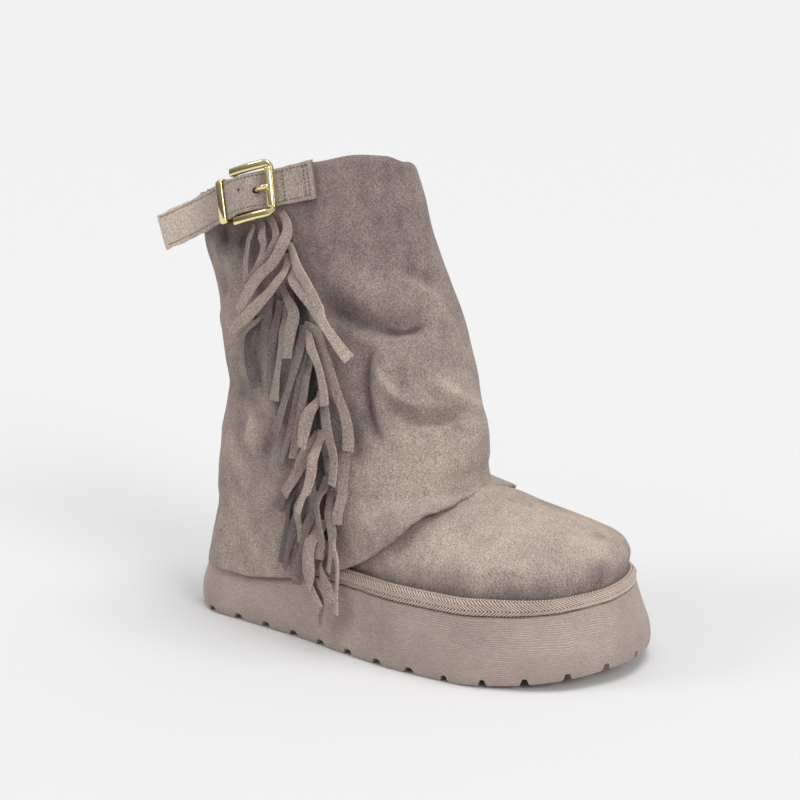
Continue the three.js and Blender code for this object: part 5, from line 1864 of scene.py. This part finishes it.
# Each strip: its layer, its width, and the distances along the foot and the heights it passes
STRIPS = (
    (5, 4.6, ((82, 224), (91, 216), (92, 208), (87, 198), (80, 192), (73, 184), (65, 172))),
    (6, 4.8, ((90, 204), (93, 194), (90, 186), (82, 178), (73, 170), (63, 162))),
    (4, 2.2, ((77, 173), (73, 166), (65, 158), (53, 150))),
    (2, 4.0, ((72, 170), (69, 158), (69, 146), (72, 132))),
    (2, 3.0, ((64, 217), (64, 206), (64, 198), (66, 188))),
    (3, 3.2, ((70, 218), (77, 208), (77, 202), (72, 193))),
    (4, 3.6, ((75, 221), (84, 212), (83, 204), (75, 193), (68, 184), (66, 169))),
    (6, 4.6, ((88, 210), (101, 198), (112, 186), (119, 174), (127, 164), (135, 154))),
    (5, 4.0, ((90, 200), (101, 190), (111, 180), (120, 170), (127, 162))),
    (4, 4.4, ((87, 188), (97, 181), (102, 174), (101, 165), (100, 152))),
    (3, 4.2, ((91, 178), (95, 166), (94, 150), (90, 129))),
    (2, 4.2, ((88, 180), (88, 165), (86, 148), (85, 132), (88, 118))),
    (1, 4.4, ((82, 184), (81, 172), (85, 160))),
    (3, 4.4, ((104, 169), (105, 156), (102, 141), (96, 126), (89, 111))),
    (2, 3.6, ((107, 164), (106, 148), (104, 130), (99, 113), (92, 96))),
    (3, 3.4, ((110, 159), (110, 139), (107, 120), (102, 100))),
    (5, 4.4, ((106, 166), (114, 159), (119, 150), (122, 138), (123, 130))),
    (6, 4.8, ((116, 136), (117, 130), (114, 121), (112, 108))),
    (4, 4.2, ((104, 170), (114, 166), (121, 156), (126, 145), (131, 131), (134, 118), (134, 107))),
    (5, 4.6, ((117, 134), (123, 124), (126, 112), (128, 101), (128, 89))),
    (3, 4.4, ((115, 116), (110, 104), (104, 92), (96, 80))),
    (1, 4.6, ((102, 92), (96, 84), (83, 68))),
    (6, 4.8, ((117, 116), (118, 106), (116, 91), (112, 74))),
    (3, 4.4, ((122, 122), (129, 112), (132, 103), (133, 86), (135, 70))),
    (4, 4.4, ((120, 92), (121, 80), (123, 66), (123, 49))),
    (3, 4.2, ((122, 85), (129, 71), (131, 59), (131, 44))),
    (2, 3.2, ((105, 82), (103, 69), (104, 53))),
    (1, 4.4, ((100, 87), (91, 64), (89, 40))),
    (2, 4.2, ((105, 77), (98, 60), (94, 38))),
    (3, 4.4, ((115, 76), (110, 62), (108, 48), (105, 32))),
    (4, 4.2, ((116, 72), (112, 56), (113, 42), (121, 32), (127, 24))),
    (2, 2.6, ((112, 38), (119, 32), (124, 26), (122, 14))),
    (3, 4.2, ((118, 50), (125, 42), (129, 35), (132, 28))),
    (5, 2.6, ((126, 68), (135, 58), (140, 46), (140, 25))),
    (5, 4.4, ((120, 69), (118, 54), (120, 42), (118, 34))),
)


@dataclass
class Fringe:
    """Cut strips that hang from a seam down the buckled side."""

    shaft: Shaft
    thickness: float = 1.05
    layer_step: float = 1.7
    spread: float = 1.3
    steps: int = 26
    band_steps: int = 90
    band_places: tuple = ((86, 214), (96, 192), (106, 166), (111, 139), (113, 110), (117, 79), (120, 58))
    band_size: tuple = (6.0, 1.1, 0.4, 2)
    # Painted shadow on the sewn band under the strips.
    band_shade: float = -2.0
    seat: float = 0.9
    corner: float = 0.4
    curl: tuple = (0.5, 5.0)
    twist: tuple = (0.42, 3.4, 1.7)
    swell: tuple = (0.10, 9.0)
    narrow_start: tuple = (0.32, 3.5)
    cup: tuple = (0.35, 4.0)
    slant: float = 0.22
    # Painted shade along each strip, from its root, under the band and the strips over it, to its tip.
    root_shade: tuple = (-0.5, 0.12)
    cut_light: float = 0.45
    # Painted shade of the lower layers, which lie under the others: the change per layer and the middle
    # layer.
    layer_shade: tuple = (0.34, 3.5)
    tones: tuple = (0.30, 0.40)
    strips: tuple = STRIPS

    def strip(self, index: int, layer: int, width: float, places: Places) -> tuple:
        """One strip as points and faces.

        Args:
            index: its number, which varies its curl.
            layer: the layer that it lies in.
            width: its width.
            places: the places that its middle line passes.

        Returns:
            Points, faces, and the shade and tone at each point: painted shade at the root and in the lower
            layers, and lighter cut edges.
        """
        steps = self.steps
        line = thread_curve(np.array(places, float), steps)
        share = np.linspace(0, 1, steps)
        phase = index * GOLDEN_TURN
        size, pace = self.curl
        curl = size * np.sin(share * pace + phase) * share
        stand = self.seat + layer * self.layer_step * ease(share * 3.0) + curl
        centres, out = self.shaft.beside(line[:, 0], line[:, 1], stand)
        way = unit(np.gradient(centres, axis=0))
        size, pace, apart = self.twist
        twist = size * np.sin(share * pace + phase * apart) * ease(share * 2)
        across = unit(np.cross(way, out))
        facing = np.cross(across, way)
        cos, sin = np.cos(twist)[:, None], np.sin(twist)[:, None]
        across, facing = across * cos + facing * sin, facing * cos - across * sin
        width *= self.spread
        section = rounded_section(width, self.thickness, self.corner, 2)
        sections = np.repeat(section[None], steps, 0)
        (size, pace), (less, over) = self.swell, self.narrow_start
        grow = 1 + size * np.sin(share * pace + phase) - less * (1 - ease(share * over))
        sections[..., 0] *= grow[:, None]
        size, pace = self.cup
        cup = (section[:, 0] / (width / 2)) ** 2
        sections[..., 1] += (size * np.sin(phase + share * pace))[:, None] * cup
        points, faces = sweep(centres, across, facing, sections)
        rings = points.reshape(steps, -1, 3)
        slant = self.slant * math.sin(phase * 3)
        rings[-1] += way[-1] * (section[:, :1] * slant)
        cut = self.cut_light * (np.abs(section[:, 0]) > width * 0.46)
        light, middle = self.layer_shade
        # Painted shade, darker at the root and in the lower layers; the cut edges lighter.
        shade_and_tone = np.linspace(*self.root_shade, steps)[:, None] + cut + light * (layer - middle)
        return rings.reshape(-1, 3), faces, shade_and_tone.ravel()

    def band(self) -> tuple:
        """The sewn band that carries the strips."""
        line = thread_curve(np.array(self.band_places, float), self.band_steps)
        centres, out = self.shaft.beside(line[:, 0], line[:, 1], np.full(self.band_steps, 0.8))
        return ribbon(centres, out, rounded_section(*self.band_size))

    def build(self, suede: Material) -> None:
        """Makes the fringe."""
        points, faces = self.band()
        strips = [self.strip(i, *strip) for i, strip in enumerate(self.strips)]
        tones = np.random.default_rng(2).normal(*self.tones, len(strips))
        shades_and_tones = [np.full(len(points), self.band_shade)] + [strip[2] + tone for strip, tone in zip(strips, tones)]
        points, faces = join_parts([(points, faces)] + [strip[:2] for strip in strips])
        piece = make_piece("fringe_strips", points, faces, 50)
        paint_shade_and_tone(piece, np.concatenate(shades_and_tones))
        settle(piece, "suede", "fringe", finish=suede)


# Studio


@dataclass
class Studio:
    """Floor, lights and the photograph's camera."""

    azimuth: float = 37.880
    elevation: float = 13.206
    roll: float = -1.634
    distance: float = 1.09989
    focal_pixels: float = 2090.08
    target: tuple = (0.133705, 0.0, 0.125522)
    centre_pixels: tuple = (401.73, 397.70)
    floor_colour: tuple = (0.775, 0.77, 0.77)
    sky: tuple = (0.02, 0.70, 0.10, 0.66)
    sky_colour: tuple = (0.98, 0.99, 1.0, 1.0)
    half: float = 30.0
    picture: int = 800
    sensor: float = 36.0
    lights: tuple = (("overhead", (0.15, 0.1, 1.0), 28.0, 1.1), ("toe_side", (0.95, -0.3, 0.55), 26.0, 1.15),
                     ("heel_side", (-0.75, -0.55, 0.65), 20.0, 0.5))

    def camera(self) -> None:
        """Places the camera."""
        a, e, r = (math.radians(v) for v in (self.azimuth, self.elevation, self.roll))
        back = Vector((math.sin(a) * math.cos(e), -math.cos(a) * math.cos(e), math.sin(e)))
        right = Vector((math.cos(a), math.sin(a), 0.0))
        up = back.cross(right)
        right, up = right * math.cos(r) + up * math.sin(r), up * math.cos(r) - right * math.sin(r)
        target = Vector(self.target) - Vector((HEEL_MIDDLE * MILLIMETRE, 0, 0))
        data = bpy.data.cameras.new("photo_view")
        data.sensor_width = self.sensor
        data.lens = self.focal_pixels / self.picture * self.sensor
        data.shift_x = (self.picture / 2 - self.centre_pixels[0]) / self.picture
        data.shift_y = (self.centre_pixels[1] - self.picture / 2) / self.picture
        data.clip_end = 50
        eye = add_object("photo_view", data)
        axes = Matrix((right, up, back)).transposed().to_4x4()
        eye.matrix_world = Matrix.Translation(target + back * self.distance) @ axes
        bpy.context.scene.camera = eye

    def light(self, name: str, way: tuple, spread: float, power: float) -> None:
        """A broad, even light that comes from a direction."""
        data = bpy.data.lights.new(name, "SUN")
        data.angle, data.energy = math.radians(spread), power
        add_object(name, data).rotation_euler = Vector(way).to_track_quat("Z", "Y").to_euler()

    def build(self) -> None:
        """Makes the studio."""
        self.camera()
        mesh = bpy.data.meshes.new("studio_floor")
        corners = [(x * self.half, y * self.half, 0) for x, y in ((-1, -1), (1, -1), (1, 1), (-1, 1))]
        mesh.from_pydata(corners, [], [(0, 1, 2, 3)])
        paper = Nodes("studio_floor").finish(rgba(self.floor_colour), None, 0.9, Specular_IOR_Level=0.1)
        mesh.materials.append(paper)
        add_object("studio_floor", mesh)
        world = bpy.data.worlds.new("studio_sky")
        world.use_nodes = True
        tree = Tree(world.node_tree)
        sky = tree.tree.nodes["Background"]
        sky.inputs["Color"].default_value = self.sky_colour
        way = tree.add("ShaderNodeTexCoord", {}).outputs["Generated"]
        grade = dict(zip(("From Min", "From Max", "To Min", "To Max"), self.sky))
        grade["Value"] = tree.add("ShaderNodeSeparateXYZ", {0: way}).outputs[2]
        tree.tree.links.new(tree.add("ShaderNodeMapRange", grade).outputs[0], sky.inputs["Strength"])
        bpy.context.scene.world = world
        bpy.context.scene.view_settings.view_transform = "Standard"
        for light in self.lights:
            self.light(*light)


def main() -> None:
    """Builds every sub-assembly, then the studio."""
    logging.basicConfig(level=logging.INFO, format="%(message)s")
    suede = Suede().build()
    strip_suede = Suede(name="suede_strips", patch=0.5, low_tone=0.31, high_tone=0.28).build()
    # A lighter copy of the suede for the strap: painted light on the strap and, through its attribute, more
    # on its tail.
    lit_strap_suede = Suede(name="suede_strap_lit", patch=0.5, reach=0.6, low_tone=0.38, high_tone=0.38,
                        light=(0.68, 0.56, 0.47)).build()
    sole = MouldedSole().build()
    band = Woven("tape_band", (0.24, 0.19, 0.167)).build()
    yarn = Woven("tape_yarn", (0.58, 0.463, 0.396), 0.4).build()
    lining = Woven("lining", (0.36, 0.30, 0.265), 1.1).build()
    thread = Woven("thread", (0.16, 0.125, 0.11), 0.3).build()
    gilt = Gilt().build()
    yarns, fibres = Scatter(Bead.YARN), Scatter(Bead.FIBRE)
    platform = Platform()
    shaft = Shaft(platform)
    Outsole(platform).build(sole)
    WeltTape(platform).build(band, yarn, yarns)
    Footbed(platform).build(lining, thread, yarns)
    Upper(platform, shaft).build(suede, lining)
    ShaftCover(shaft).build(suede, lining, fibres)
    Fringe(shaft).build(strip_suede)
    strap = Strap(shaft)
    buckle = Buckle(strap)
    strap.build(lit_strap_suede, thread, yarns, buckle.prong_in_shoe(3.0)[12:])
    strap.backing(lit_strap_suede)
    buckle.build_frame(gilt)
    buckle.build_prong(gilt)
    buckle.build_keeper(gilt)
    Studio().build()


if __name__ == "__main__":
    main()
